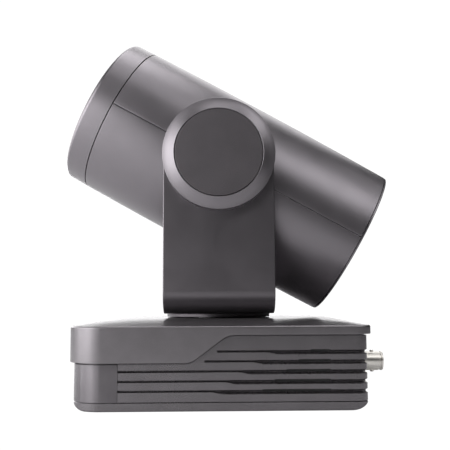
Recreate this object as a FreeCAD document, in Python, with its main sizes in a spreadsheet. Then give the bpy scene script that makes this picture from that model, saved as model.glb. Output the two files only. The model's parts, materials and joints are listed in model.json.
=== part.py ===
import FreeCAD, Part
import math
import os
import re

import Sketcher
from FreeCAD import Placement, Rotation, Vector

# A pan-tilt-zoom conference camera: a flat base, a U-shaped yoke that pans on it, and a barrel
# head that tilts in the yoke on the X axis.
# Row frame: +Z up, lens towards -Y at pan zero, origin at the mouth of the tripod thread under the
# base, on the pan axis. The head's pieces are drawn level, about their own tilt axis, and are then
# tilted together to the rest pose.

SIZES = {
    # Base plan: the cover overhangs the housing all round
    "cover_half": 71.0,
    "cover_front": -72.9,
    "cover_rear": 72.7,
    "overhang": 2.0,
    "front_corner": 17.0,
    "rear_corner": 8.0,
    "wall": 2.4,
    "fit_gap": 0.3,
    # Base heights
    "tray_top": 4.0,
    "tray_floor": 2.2,
    "tray_wall": 4.4,
    "tray_edge": 0.8,
    "tray_rise": 3.7,
    "tray_run_front": 8.0,
    "tray_run_rear": 10.0,
    "cover_edge_front": 22.5,
    "cover_edge_rear": 35.5,
    "cover_rim": 39.7,
    "cover_inside": 37.4,
    "cover_crown": 42.6,
    "slant_start": -13.7,
    "slant_end": 3.7,
    "slant_round": 10.0,
    "crown_inset": 1.6,
    "crown_half": 50.0,
    "crown_rear": 60.0,
    "crown_corner": 34.0,
    "hub_opening": 16.0,
    # Louvre grooves in the housing's sides
    "groove_top_z": 27.7,
    "groove_pitch": 4.6,
    "groove_half": 0.45,
    "groove_depth": 1.5,
    "lip_drop": 0.95,
    "lip_start": 22.4,
    "lip_step": 6.6,
    "lip_ramp": 5.5,
    "slot_left": 43.0,
    "slot_step": 5.75,
    "slot_right": 52.3,
    "slot_height": 1.1,
    "slot_rise": 0.3,
    "window_end": -48.0,
    "window_wall": 2.0,
    # Rear connector panel
    "panel_half": 50.0,
    "panel_low": 7.0,
    "panel_high": 31.0,
    "panel_sheet": 2.0,
    "board_low": 8.0,
    "board_sheet": 1.6,
    # Pan drive
    "deck_low": 26.0,
    "deck_sheet": 2.0,
    "spindle_radius": 9.0,
    "cable_bore": 6.0,
    "bearing_radius": 13.0,
    "running_gap": 0.05,
    "pan_gear_low": 29.5,
    "pan_gear_face": 4.0,
    "pan_module": 0.8,
    "pan_teeth": 72,
    "pinion_teeth": 18,
    "tilt_module": 0.5,
    "tilt_teeth": 60,
    # Yoke
    "tilt_axis_z": 126.0,
    "tilt_rest": 28.79,
    "yoke_low": 45.1,
    "yoke_half": 28.5,
    "yoke_outside": 48.8,
    "yoke_inside": 45.0,
    "yoke_bend": 11.5,
    "floor_sheet": 1.0,
    "floor_plate_radius": 24.0,
    "turntable_low": 43.0,
    "turntable_radius": 29.0,
    "puck_radius": 28.7,
    "puck_rim": 55.7,
    "puck_face": 58.1,
    "disc_radius": 22.2,
    "axle_radius": 8.0,
    "axle_end": 29.5,
    # Head, in its own level frame: y runs to the rear from the tilt axis
    "barrel_front": -62.65,
    "barrel_rear": 85.0,
    "barrel_radius_front": 42.9,
    "barrel_radius_rear": 42.35,
    "barrel_arc": 4100.0,
    "barrel_bore": 40.4,
    "ring_front": -75.7,
    "ring_seam": -63.0,
    "ring_radius": 42.6,
    "ring_round": 2.2,
    "glass_radius": 37.0,
    "split_low": -1.15,
    "split_high": -0.85,
    "cap_end": 86.2,
}

TRAY_SCREWS = [(63, -40), (63, 58), (-63, -40), (-63, 58)]
DECK_POSTS = [(45, -35), (45, 35), (-45, -35), (-45, 35)]
BOARD_FEET = [(33, -31), (33, 25), (-33, -31), (-33, 25), (48, 48), (-48, 48)]
FEET = [(50, -52), (50, 52), (-50, -52), (-50, 52)]
MODULE_POSTS = [(18, -30), (18, -8), (-18, -30), (-18, -8)]
BOARD_PILLARS = [(25, 13), (25, -13), (-25, 13), (-25, -13)]
GUIDES = ["-15", "15"]
YOKE_SCREWS = 4
SCREW_CIRCLE = 20
GROOVE_STARTS = ["-1.4", "-7.3", "window_end", "window_end", "window_end"]

doc = FreeCAD.newDocument("PtzCamera")
sheet = doc.addObject("Spreadsheet::Sheet", "Sizes")
for row, (alias, size) in enumerate(SIZES.items(), start=1):
    sheet.set(f"A{row}", str(size))
    sheet.setAlias(f"A{row}", alias)
doc.recompute()

WORD = re.compile(r"[a-z][a-z_]*")
nodes = []


# ---------------------------------------------------------------- sheet formulas


def formula(text):
    """A sheet expression from one written with bare aliases."""
    return WORD.sub(lambda found: f"Sizes.{found[0]}" if found[0] in SIZES else found[0], str(text))


def measure(text):
    """The value of a formula, in millimetres."""
    return float(sheet.evalExpression(formula(text)))


def bind(item, prop, text):
    item.setExpression(prop, formula(text))


def place(item, x="0", y="0", z="0"):
    for letter, text in zip("xyz", (x, y, z)):
        bind(item, f".Placement.Base.{letter}", text)


# ---------------------------------------------------------------- sketches and bodies


def new_body(name):
    return doc.addObject("PartDesign::Body", name)


def new_sketch(body, name, plane, offset="0"):
    """A sketch on one of the body's origin planes, moved along its normal by offset."""
    sketch = body.newObject("Sketcher::SketchObject", name)
    origin_plane = next(f for f in body.Origin.OriginFeatures if f.Role == plane)
    sketch.AttachmentSupport = [(origin_plane, "")]
    sketch.MapMode = "FlatFace"
    bind(sketch, ".AttachmentOffset.Base.z", offset)
    return sketch


def pin_point(sketch, geometry, end, across, up):
    """Fixes a geometry's end by two sheet formulas."""
    for kind, text in (("DistanceX", across), ("DistanceY", up)):
        made = sketch.addConstraint(Sketcher.Constraint(kind, -1, 1, geometry, end, measure(text)))
        bind(sketch, f"Constraints[{made}]", text)


def draw_outline(sketch, corners):
    """A closed outline of lines. A corner with a third value starts an arc of that radius, which
    bulges to the right of its direction of travel."""
    first = sketch.GeometryCount
    flat = [Vector(measure(corner[0]), measure(corner[1]), 0) for corner in corners]
    count = len(corners)
    for index, corner in enumerate(corners):
        start, end = flat[index], flat[(index + 1) % count]
        if len(corner) == 2:
            sketch.addGeometry(Part.LineSegment(start, end), False)
            continue
        radius = measure(corner[2])
        chord = end - start
        middle = (start + end) / 2
        outward = Vector(chord.y, -chord.x, 0).normalize()
        rise = radius - math.sqrt(radius**2 - (chord.Length / 2) ** 2)
        sketch.addGeometry(Part.Arc(start, middle + outward * rise, end), False)
        made = sketch.addConstraint(Sketcher.Constraint("Radius", first + index, radius))
        bind(sketch, f"Constraints[{made}]", corner[2])
    for index, corner in enumerate(corners):
        following = first + (index + 1) % count
        sketch.addConstraint(Sketcher.Constraint("Coincident", first + index, 2, following, 1))
        pin_point(sketch, first + index, 1, corner[0], corner[1])


def draw_circle(sketch, across, up, radius):
    circle = sketch.addGeometry(
        Part.Circle(Vector(measure(across), measure(up), 0), Vector(0, 0, 1), measure(radius)), False
    )
    pin_point(sketch, circle, 3, across, up)
    made = sketch.addConstraint(Sketcher.Constraint("Radius", circle, measure(radius)))
    bind(sketch, f"Constraints[{made}]", radius)


def pad(body, sketch, length, both_sides=False):
    made = body.newObject("PartDesign::Pad", f"{sketch.Name}_pad")
    made.Profile = sketch
    bind(made, "Length", length)
    made.Midplane = both_sides
    doc.recompute()
    return made


def pocket(body, sketch, length, both_sides=False, backwards=False):
    """Removes material, and stops if nothing came away."""
    before = body.Shape.Volume
    made = body.newObject("PartDesign::Pocket", f"{sketch.Name}_pocket")
    made.Profile = sketch
    bind(made, "Length", length)
    made.Midplane = both_sides
    made.Reversed = backwards
    doc.recompute()
    if not body.Shape.Volume < before:
        raise RuntimeError(f"{made.Name} removes nothing")
    return made


def revolve(body, sketch, line):
    """A full turn about the sketch's V_Axis or H_Axis."""
    made = body.newObject("PartDesign::Revolution", f"{sketch.Name}_turn")
    made.Profile = sketch
    made.ReferenceAxis = (sketch, [line])
    made.Angle = 360
    doc.recompute()
    return made


def round_edges(body, wanted, radius):
    """Fillets the edges of the body's last feature for which wanted(edge) is true."""
    base = body.Tip
    names = [f"Edge{index}" for index, edge in enumerate(base.Shape.Edges, start=1) if wanted(edge)]
    made = body.newObject("PartDesign::Fillet", f"{body.Name}_round{len(body.Group)}")
    made.Base = (base, names)
    bind(made, "Radius", radius)
    doc.recompute()
    return made


def straight(edge, axis):
    """True for a straight edge along the axis, 0 to 2 for X to Z."""
    if edge.Curve.TypeId != "Part::GeomLine":
        return False
    return abs(abs(edge.Curve.Direction[axis]) - 1) < 1e-6


def turned(name, corners, plane="XY_Plane", line="V_Axis"):
    """A turned piece: its half section, spun about an axis of the sketch."""
    body = new_body(name)
    sketch = new_sketch(body, f"{name}_section", plane)
    draw_outline(sketch, corners)
    revolve(body, sketch, line)
    return body


def rounded_block(name, half, front, rear, corner_front, corner_rear, low, high):
    """A block with rounded upright corners."""
    body = new_body(name)
    sketch = new_sketch(body, f"{name}_plan", "XY_Plane", low)
    draw_outline(
        sketch, [(f"-({half})", front), (half, front), (half, rear), (f"-({half})", rear)]
    )
    pad(body, sketch, f"({high}) - ({low})")
    for is_front, radius in ((True, corner_front), (False, corner_rear)):
        round_edges(
            body,
            lambda edge: straight(edge, 2) and (edge.CenterOfMass.y < 0) == is_front,
            radius,
        )
    return body


# ---------------------------------------------------------------- primitives and booleans


def block(name, x, y, z):
    """A box between pairs of formulas."""
    item = doc.addObject("Part::Box", name)
    for prop, span in zip(("Length", "Width", "Height"), (x, y, z)):
        bind(item, prop, f"({span[1]}) - ({span[0]})")
    place(item, x[0], y[0], z[0])
    return item


TURN_TO = {
    "X": Rotation(Vector(0, 1, 0), 90),
    "Y": Rotation(Vector(1, 0, 0), -90),
    "Z": Rotation(),
}


def rod(name, axis, centre, radius, span):
    """A cylinder along an axis. Centre is its two other coordinates, in X, Y, Z order."""
    item = doc.addObject("Part::Cylinder", name)
    bind(item, "Radius", radius)
    bind(item, "Height", f"({span[1]}) - ({span[0]})")
    item.Placement = Placement(Vector(), TURN_TO[axis])
    first, second = centre
    where = {"X": (span[0], first, second), "Y": (first, span[0], second), "Z": (first, second, span[0])}
    place(item, *where[axis])
    return item


def cone(name, centre, radius_low, radius_high, span):
    item = doc.addObject("Part::Cone", name)
    bind(item, "Radius1", radius_low)
    bind(item, "Radius2", radius_high)
    bind(item, "Height", f"({span[1]}) - ({span[0]})")
    place(item, centre[0], centre[1], span[0])
    return item


def fuse(name, *shapes):
    item = doc.addObject("Part::MultiFuse", name)
    item.Shapes = list(shapes)
    return item


def group(name, shapes):
    """Separate solids that share one node."""
    item = doc.addObject("Part::Compound", name)
    item.Links = list(shapes)
    return item


def cut(name, base, *tools):
    item = doc.addObject("Part::Cut", name)
    item.Base = base
    item.Tool = tools[0] if len(tools) == 1 else fuse(f"{name}_tools", *tools)
    return item


def common(name, base, tool):
    item = doc.addObject("Part::Common", name)
    item.Base = base
    item.Tool = tool
    return item


def tube(name, axis, centre, outer, inner, span):
    bore = (f"({span[0]}) - 1", f"({span[1]}) + 1")
    return cut(
        name, rod(f"{name}_rod", axis, centre, outer, span), rod(f"{name}_bore", axis, centre, inner, bore)
    )


def node(item, label, in_head=False):
    """Names a finished sub-part. One in the head is tilted with it to the rest pose."""
    item.Label = label
    if in_head:
        bind(item, ".Placement.Base.z", "tilt_axis_z")
        item.Placement = Placement(Vector(), Rotation(Vector(1, 0, 0), -measure("tilt_rest")))
    nodes.append(item)
    return item


def at(point):
    """A pair of coordinates as formulas."""
    return tuple(str(value) for value in point)


# ---------------------------------------------------------------- gears


PRESSURE_ANGLE = math.radians(20)
BACKLASH = 0.14
ADDENDUM = 0.9
DEDENDUM = 1.25
FLANK_POINTS = 6


def involute_point(base_radius, radius, turn, side):
    """A point of an involute flank at a radius, turned about the gear's axis."""
    swing = math.sqrt(max((radius / base_radius) ** 2 - 1, 0))
    angle = turn + side * (swing - math.atan(swing))
    return Vector(radius * math.cos(angle), radius * math.sin(angle), 0)


def polar(radius, angle):
    return Vector(radius * math.cos(angle), radius * math.sin(angle), 0)


def gear_blank(module, teeth, face, bore, first_tooth):
    """An involute spur gear about Z from z 0, with one tooth centred on the angle first_tooth."""
    pitch_radius = module * teeth / 2
    base_radius = pitch_radius * math.cos(PRESSURE_ANGLE)
    tip_radius = pitch_radius + ADDENDUM * module
    root_radius = pitch_radius - DEDENDUM * module
    half_tooth = (math.pi / 2 - BACKLASH) / teeth
    unwind = math.tan(PRESSURE_ANGLE) - PRESSURE_ANGLE
    foot = max(base_radius, root_radius)
    radii = [foot + (tip_radius - foot) * step / FLANK_POINTS for step in range(FLANK_POINTS + 1)]
    edges = []
    for tooth in range(teeth):
        middle = first_tooth + 2 * math.pi * tooth / teeth
        sides = []
        for side in (1, -1):
            start = middle - side * (half_tooth + unwind)
            sides.append([involute_point(base_radius, radius, start, side) for radius in radii])
        rising, falling = sides
        for points in (rising, falling[::-1]):
            flank = Part.BSplineCurve()
            flank.interpolate(points)
            edges.append(flank.toShape())
        edges.insert(-1, Part.Arc(rising[-1], polar(tip_radius, middle), falling[-1]).toShape())
        gap = middle + math.pi / teeth
        foot_angle = math.atan2(falling[0].y, falling[0].x)
        next_angle = 2 * gap - foot_angle
        valley = [polar(root_radius, foot_angle), polar(root_radius, gap), polar(root_radius, next_angle)]
        landing = polar(foot, next_angle)
        if foot > root_radius:
            edges.append(Part.LineSegment(falling[0], valley[0]).toShape())
        edges.append(Part.Arc(*valley).toShape())
        if foot > root_radius:
            edges.append(Part.LineSegment(valley[2], landing).toShape())
    outline = Part.Face(Part.Wire(edges))
    solid = outline.extrude(Vector(0, 0, face))
    return solid.cut(Part.makeCylinder(bore, face, Vector()))


def gear(name, shape, placement):
    item = doc.addObject("Part::Feature", name)
    item.Shape = shape
    item.Placement = placement
    return item


# ---------------------------------------------------------------- base


def plan_block(name, inset, low, high):
    """A block of the housing's plan shape, inset all round."""
    front_corner = f"front_corner - overhang - ({inset})"
    rear_corner = f"rear_corner - overhang - ({inset})"
    half = f"cover_half - overhang - ({inset})"
    front = f"cover_front + overhang + ({inset})"
    rear = f"cover_rear - overhang - ({inset})"
    return rounded_block(name, half, front, rear, front_corner, rear_corner, low, high)


def tray_ends():
    """The tray's side view as a prism: a flat bottom that curves up at both ends."""
    body = new_body("tray_ends")
    sketch = new_sketch(body, "tray_side", "YZ_Plane")
    front, rear, top = "cover_front + overhang", "cover_rear - overhang", "2 * tray_top"
    draw_outline(
        sketch,
        [
            (front, "tray_rise", "(tray_run_front ^ 2 + tray_rise ^ 2) / (2 * tray_rise)"),
            (f"{front} + tray_run_front", "0"),
            (f"{rear} - tray_run_rear", "0", "(tray_run_rear ^ 2 + tray_rise ^ 2) / (2 * tray_rise)"),
            (rear, "tray_rise"),
            (rear, top),
            (front, top),
        ],
    )
    pad(body, sketch, "4 * cover_half", both_sides=True)
    return body


def bottom_tray():
    plan = plan_block("tray_plan", "0", "0", "tray_top")
    round_edges(plan, lambda edge: edge.CenterOfMass.z < 0.01, "tray_edge")
    outer = common("tray_outer", plan, tray_ends())
    hollow = plan_block("tray_hollow", "tray_wall", "tray_floor", "tray_top + 1")
    holes = [rod("tray_centre", "Z", at((0, 0)), "7.1", ("-1", "tray_top + 1"))]
    for index, spot in enumerate(TRAY_SCREWS):
        holes.append(rod(f"tray_clear{index}", "Z", at(spot), "1.6", ("-1", "tray_top + 1")))
        holes.append(rod(f"tray_sink{index}", "Z", at(spot), "3.2", ("-1", "1.6")))
    for index, spot in enumerate(FEET):
        holes.append(rod(f"foot_seat{index}", "Z", at(spot), "6.1", ("-1", "0.8")))
    node(cut("tray_cut", outer, hollow, *holes), "bottom_tray")


def tripod_socket():
    flange = rod("socket_flange", "Z", at((0, 0)), "11", ("tray_floor", "tray_floor + 1.8"))
    barrel = rod("socket_barrel", "Z", at((0, 0)), "7", ("0", "9"))
    bore = rod("socket_bore", "Z", at((0, 0)), "2.6", ("-1", "7.5"))
    node(cut("socket_cut", fuse("socket_body", flange, barrel), bore), "tripod_socket")


def rubber_feet():
    feet = []
    for index, spot in enumerate(FEET):
        feet.append(cone(f"foot{index}", at(spot), "5.2", "6", ("-1", "0.8")))
    node(group("feet", feet), "rubber_feet")


def tray_screws():
    screws = []
    for index, spot in enumerate(TRAY_SCREWS):
        head = rod(f"tray_screw_head{index}", "Z", at(spot), "2.8", ("0.2", "1.6"))
        socket = rod(f"tray_screw_socket{index}", "Z", at(spot), "1.1", ("-1", "1"))
        shank = rod(f"tray_screw_shank{index}", "Z", at(spot), "1.4", ("1.6", "12"))
        body = fuse(f"tray_screw_body{index}", head, shank)
        screws.append(cut(f"tray_screw{index}", body, socket))
    node(group("tray_screw_set", screws), "tray_screws")


def groove_profile():
    """The five louvre grooves seen from the side, as one prism right across the base."""
    body = new_body("groove_prism")
    sketch = new_sketch(body, "groove_side", "YZ_Plane")
    for index, start in enumerate(GROOVE_STARTS):
        middle = f"groove_top_z - {index} * groove_pitch"
        ramp = f"lip_start - {index} * lip_step"
        top, bottom = f"{middle} + groove_half", f"{middle} - groove_half"
        lip = f"{bottom} - lip_drop"
        end = "cover_rear + 5"
        draw_outline(
            sketch,
            [
                (start, bottom),
                (ramp, bottom),
                (f"{ramp} + lip_ramp", lip),
                (end, lip),
                (end, top),
                (start, top),
            ],
        )
    pad(body, sketch, "4 * cover_half", both_sides=True)
    core = plan_block("groove_core", "groove_depth", "0", "cover_rim")
    middle_rear = block(
        "groove_core_rear",
        ("-(panel_half + 9)", "panel_half + 9"),
        ("0", "cover_rear + 9"),
        ("0", "cover_rim"),
    )
    return cut("grooves", body, core, middle_rear)


def slot_prism():
    """The open slots along the tops of the grooves."""
    slots = []
    for index in range(len(GROOVE_STARTS)):
        top = f"groove_top_z - {index} * groove_pitch + groove_half + slot_rise"
        left = f"slot_left - {index} * slot_step"
        slots.append(
            block(
                f"slot{index}",
                ("-cover_half", "cover_half"),
                (left, "slot_right"),
                (f"{top} - slot_height", top),
            )
        )
    return slots


def main_housing():
    outer = plan_block("housing_plan", "0", "tray_top", "cover_inside")
    hollow = plan_block("housing_hollow", "wall", "tray_top - 1", "cover_inside + 1")
    window = block(
        "window_opening",
        ("-cover_half", "cover_half"),
        ("cover_front - 1", "window_end"),
        ("tray_top - 1", "cover_edge_front - 0.1"),
    )
    rear = block(
        "rear_opening",
        ("-panel_half", "panel_half"),
        ("cover_rear - 9", "cover_rear + 1"),
        ("panel_low", "panel_high"),
    )
    shell = cut("housing_shell", outer, hollow, window, rear, groove_profile(), *slot_prism())
    bosses = []
    holes = []
    for index, spot in enumerate(TRAY_SCREWS):
        bosses.append(rod(f"boss{index}", "Z", at(spot), "4", ("tray_top", "18")))
        holes.append(rod(f"boss_hole{index}", "Z", at(spot), "1.45", ("tray_top - 1", "14")))
    node(cut("housing_cut", fuse("housing_bosses", shell, *bosses), *holes), "main_housing")


def top_cover():
    outer = rounded_block(
        "cover_plan",
        "cover_half",
        "cover_front",
        "cover_rear",
        "front_corner",
        "rear_corner",
        "cover_edge_front",
        "cover_rim",
    )
    side = new_sketch(outer, "cover_side", "YZ_Plane")
    below = "cover_edge_front - 2"
    beyond = "cover_rear + 5"
    draw_outline(
        side,
        [
            ("slant_start", below),
            (beyond, below),
            (beyond, "cover_edge_rear"),
            ("slant_end", "cover_edge_rear"),
            ("slant_start", "cover_edge_front"),
        ],
    )
    pocket(outer, side, "4 * cover_half", both_sides=True)
    low, high = measure("cover_edge_front"), measure("cover_edge_rear")
    ends = [(measure("slant_start"), low), (measure("slant_end"), high)]

    def on_slant(edge):
        middle = edge.CenterOfMass
        return straight(edge, 0) and any(
            abs(middle.y - y) + abs(middle.z - z) < 0.01 for y, z in ends
        )

    round_edges(outer, on_slant, "slant_round")
    rim = new_body("cover_crown_solid")
    crown = rim.newObject("PartDesign::AdditiveLoft", "cover_crown_loft")
    inset = "crown_inset"
    lower = crown_section(
        rim,
        "crown_low",
        f"cover_half - {inset}",
        f"cover_front + {inset}",
        f"cover_rear - {inset}",
        f"rear_corner - {inset}",
        "cover_rim",
    )
    upper = crown_section(
        rim, "crown_high", "crown_half", "-crown_half", "crown_rear", "crown_corner", "cover_crown"
    )
    crown.Profile = lower
    crown.Sections = [upper]
    crown.Ruled = True
    doc.recompute()
    hollow = plan_block("cover_hollow", "-fit_gap", "cover_edge_front - 1", "cover_inside")
    through = ("cover_inside - 1", "cover_crown + 1")
    opening = rod("cover_hub_opening", "Z", at((0, 0)), "hub_opening", through)
    node(cut("cover_cut", fuse("cover_solid", outer, rim), hollow, opening), "top_cover")


def crown_section(body, name, half, front, rear, corner, height):
    """A rectangle with round corners, as eight lines and arcs."""
    sketch = new_sketch(body, name, "XY_Plane", height)
    draw_outline(
        sketch,
        [
            (f"-({half}) + {corner}", front),
            (f"{half} - ({corner})", front, corner),
            (half, f"{front} + {corner}"),
            (half, f"{rear} - ({corner})", corner),
            (f"{half} - ({corner})", rear),
            (f"-({half}) + {corner}", rear, corner),
            (f"-({half})", f"{rear} - ({corner})"),
            (f"-({half})", f"{front} + {corner}", corner),
        ],
    )
    return sketch


def ir_window():
    """The smoked strip that wraps the front of the base, flush with the housing."""
    outer = plan_block("window_plan", "0", "tray_top + 0.1", "cover_edge_front - 0.6")
    inner = plan_block("window_hollow", "window_wall", "0", "cover_rim")
    front = block(
        "window_front",
        ("-cover_half", "cover_half"),
        ("cover_front - 1", "window_end - 0.15"),
        ("0", "cover_rim"),
    )
    node(common("window_strip", cut("window_band", outer, inner), front), "ir_window")


def front_board():
    board = block("front_board_sheet", ("-24", "24"), ("-64.5", "-62.9"), ("tray_floor", "20"))
    node(board, "front_board")
    eyes = []
    for index, across in enumerate(("-12", "12")):
        lens = rod(f"ir_eye_lens{index}", "Y", (across, "13"), "2.6", ("-67.8", "-66"))
        case = block(
            f"ir_eye_case{index}", (f"{across} - 3.2", f"{across} + 3.2"), ("-66", "-64.5"), ("9", "17")
        )
        eyes.append(fuse(f"ir_eye{index}", lens, case))
    node(group("ir_eyes", eyes), "ir_receivers")
    node(rod("led_stub", "Y", ("0", "13"), "1.5", ("-67.5", "-64.5")), "status_led")


# Each rear connector: centre X, half width, low and high Z
PORTS = {
    "dc_jack": (-45, 4.5, 9.6, 20.6),
    "lan_port": (-28, 8.0, 9.6, 23.0),
    "usb_port": (-12, 7.2, 9.6, 16.8),
    "hdmi_port": (5, 7.8, 9.6, 15.8),
    "serial_port": (21.5, 7.0, 9.6, 23.0),
    "audio_jack": (5, 4.5, 21.0, 29.0),
}
PORT_FRONT = "68.6"
PORT_GAP = 0.1
BNC_X = 37.0
BNC_Z = 20.5


def port_case(name, back):
    across, half, bottom, top = PORTS[name]
    return block(f"{name}_case", at((across - half, across + half)), (back, PORT_FRONT), at((bottom, top)))


def rear_panel():
    """The connector plate behind the housing's rear opening."""
    sheet_span = ("cover_rear - overhang - wall - panel_sheet", "cover_rear - overhang - wall")
    plate = block(
        "panel_plate",
        ("-(panel_half + 3)", "panel_half + 3"),
        sheet_span,
        ("tray_top + 0.3", "panel_high + 3"),
    )
    through = ("60", "75")
    holes = []
    for name, (across, half, bottom, top) in PORTS.items():
        wide = at((across - half - PORT_GAP, across + half + PORT_GAP))
        high = at((bottom - PORT_GAP, top + PORT_GAP))
        holes.append(block(f"{name}_window", wide, through, high))
    holes.append(rod("bnc_window", "Y", at((BNC_X, BNC_Z)), "6.3", through))
    node(cut("panel_cut", plate, *holes), "rear_panel")


def board_pair():
    main = block("main_board_sheet", ("-38", "38"), ("-36", "30"), ("board_low", "board_low + board_sheet"))
    chip = block("main_chip", ("16", "30"), ("8", "22"), ("board_low + board_sheet", "12.4"))
    memory = block("memory_chip", ("-28", "-18"), ("8", "22"), ("board_low + board_sheet", "11"))
    centre = rod("main_board_hole", "Z", at((0, 0)), "12", ("0", "20"))
    node(cut("main_board_cut", fuse("main_board_set", main, chip, memory), centre), "main_board")
    ports = block("port_board_sheet", ("-52", "52"), ("44", "66"), ("board_low", "board_low + board_sheet"))
    node(ports, "port_board")
    standoffs = []
    for index, spot in enumerate(BOARD_FEET):
        standoffs.append(rod(f"standoff{index}", "Z", at(spot), "2.5", ("tray_floor", "board_low")))
    node(group("standoffs", standoffs), "board_standoffs")


def box_socket(name, back, inside_half, inside_low, inside_high, depth):
    """A rectangular socket, open to the rear."""
    across = PORTS[name][0]
    cavity = block(
        f"{name}_cavity",
        (str(across - inside_half), str(across + inside_half)),
        (f"{PORT_FRONT} - {depth}", "75"),
        (inside_low, inside_high),
    )
    node(cut(f"{name}_cut", port_case(name, back), cavity), name)


def connectors():
    box_socket("lan_port", "47.5", 5.9, "11.4", "19.4", 12)
    box_socket("usb_port", "54", 6.25, "10.6", "15.8", 13)
    box_socket("hdmi_port", "56", 7.1, "10.3", "15.1", 10)
    dc_x, dc_z = at((PORTS["dc_jack"][0], 15.4))
    dc_bore = rod("dc_bore", "Y", (dc_x, dc_z), "2.9", ("59", "75"))
    dc_pin = rod("dc_pin", "Y", (dc_x, dc_z), "1", ("58", "67.6"))
    node(fuse("dc_set", cut("dc_case", port_case("dc_jack", "54"), dc_bore), dc_pin), "dc_jack")
    serial_x, serial_z = at((PORTS["serial_port"][0], 16.3))
    ring = tube("serial_ring", "Y", (serial_x, serial_z), "4.9", "4.3", ("62", PORT_FRONT))
    groove = rod("serial_bore", "Y", (serial_x, serial_z), "4.9", ("62", "75"))
    insert = rod("serial_insert", "Y", (serial_x, serial_z), "3.2", ("60", "67.4"))
    case = cut("serial_case", port_case("serial_port", "56"), groove)
    node(fuse("serial_set", case, ring, insert), "serial_port")
    audio_x, audio_z = at((PORTS["audio_jack"][0], 25))
    nose = rod("audio_nose", "Y", (audio_x, audio_z), "3", (PORT_FRONT, "70"))
    audio_bore = rod("audio_bore", "Y", (audio_x, audio_z), "1.8", ("57", "75"))
    body = fuse("audio_body", port_case("audio_jack", "55"), nose)
    node(cut("audio_cut", body, audio_bore), "audio_jack")


def bnc_jack():
    """A bayonet coaxial jack: two lugs on a bright barrel."""
    spot = at((BNC_X, BNC_Z))
    foot = block("bnc_foot", (f"{BNC_X} - 7", f"{BNC_X} + 7"), ("54", "65.9"), ("9.6", f"{BNC_Z} + 7"))
    neck = rod("bnc_neck", "Y", spot, "6.2", ("65.9", "69.6"))
    barrel = rod("bnc_barrel", "Y", spot, "4.825", ("69.6", "84"))
    lugs = rod("bnc_lugs", "Z", (spot[0], "78.8"), "0.95", (f"{BNC_Z} - 5.5", f"{BNC_Z} + 5.5"))
    bore = rod("bnc_bore", "Y", spot, "4.05", ("73", "85"))
    seat = rod("bnc_seat", "Y", spot, "2.4", ("66", "74"))
    node(cut("bnc_cut", fuse("bnc_body", foot, neck, barrel, lugs), bore, seat), "bnc_jack")
    core = rod("bnc_core", "Y", spot, "2.4", ("66", "81"))
    pin_hole = rod("bnc_pin_hole", "Y", spot, "0.7", ("70", "85"))
    node(cut("bnc_core_cut", core, pin_hole), "bnc_insulator")
    node(tube("bnc_pin", "Y", spot, "0.7", "0.4", ("70", "80.5")), "bnc_contact")


# ---------------------------------------------------------------- pan drive


PAN_PITCH = "pan_module * pan_teeth / 2"
PINION_AT = "-pan_module * (pan_teeth + pinion_teeth) / 2"


def pan_deck():
    plate = block("deck_plate", ("-50", "50"), ("-58", "42"), ("deck_low", "deck_low + deck_sheet"))
    hub = rod("deck_hub", "Z", at((0, 0)), "16", ("16", "deck_low"))
    bore = rod("deck_bore", "Z", at((0, 0)), "bearing_radius", ("15", "29"))
    motor_hole = rod("deck_motor_hole", "Z", ("0", PINION_AT), "8.2", ("20", "30"))
    node(cut("deck_cut", fuse("deck_set", plate, hub), bore, motor_hole), "pan_deck")
    posts = []
    for index, spot in enumerate(DECK_POSTS):
        posts.append(rod(f"deck_post{index}", "Z", at(spot), "3.5", ("tray_floor", "deck_low")))
    node(group("deck_post_set", posts), "deck_posts")
    node(
        tube(
            "pan_bearing_ring",
            "Z",
            at((0, 0)),
            "bearing_radius",
            "spindle_radius + running_gap",
            ("16", "deck_low + deck_sheet"),
        ),
        "pan_bearing",
    )


def pan_motor():
    case = rod("pan_motor_case", "Z", ("0", PINION_AT), "17.5", ("10.2", "deck_low"))
    nose = rod("pan_motor_nose", "Z", ("0", PINION_AT), "5", ("deck_low", "deck_low + 1.5"))
    bore = rod("pan_motor_bore", "Z", ("0", PINION_AT), "2.05", ("14", "30"))
    node(cut("pan_motor_cut", fuse("pan_motor_set", case, nose), bore), "pan_motor")


def pan_gears():
    """The big gear on the spindle and the motor's pinion in front of it, in mesh at rest."""
    module, face = measure("pan_module"), measure("pan_gear_face")
    teeth, few = int(measure("pan_teeth")), int(measure("pinion_teeth"))
    low = measure("pan_gear_low")
    wheel = gear_blank(module, teeth, face, measure("spindle_radius"), -math.pi / 2)
    node(gear("pan_wheel", wheel, Placement(Vector(0, 0, low), Rotation())), "pan_gear")
    pinion = gear_blank(module, few, face, 1.0, math.pi / 2 + math.pi / few)
    shaft = Part.makeCylinder(2.0, low + face - 15, Vector(0, 0, 15 - low))
    place_at = Placement(Vector(0, measure(PINION_AT), low), Rotation())
    node(gear("pan_drive", pinion.fuse(shaft), place_at), "pan_pinion")


# ---------------------------------------------------------------- yoke


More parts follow.
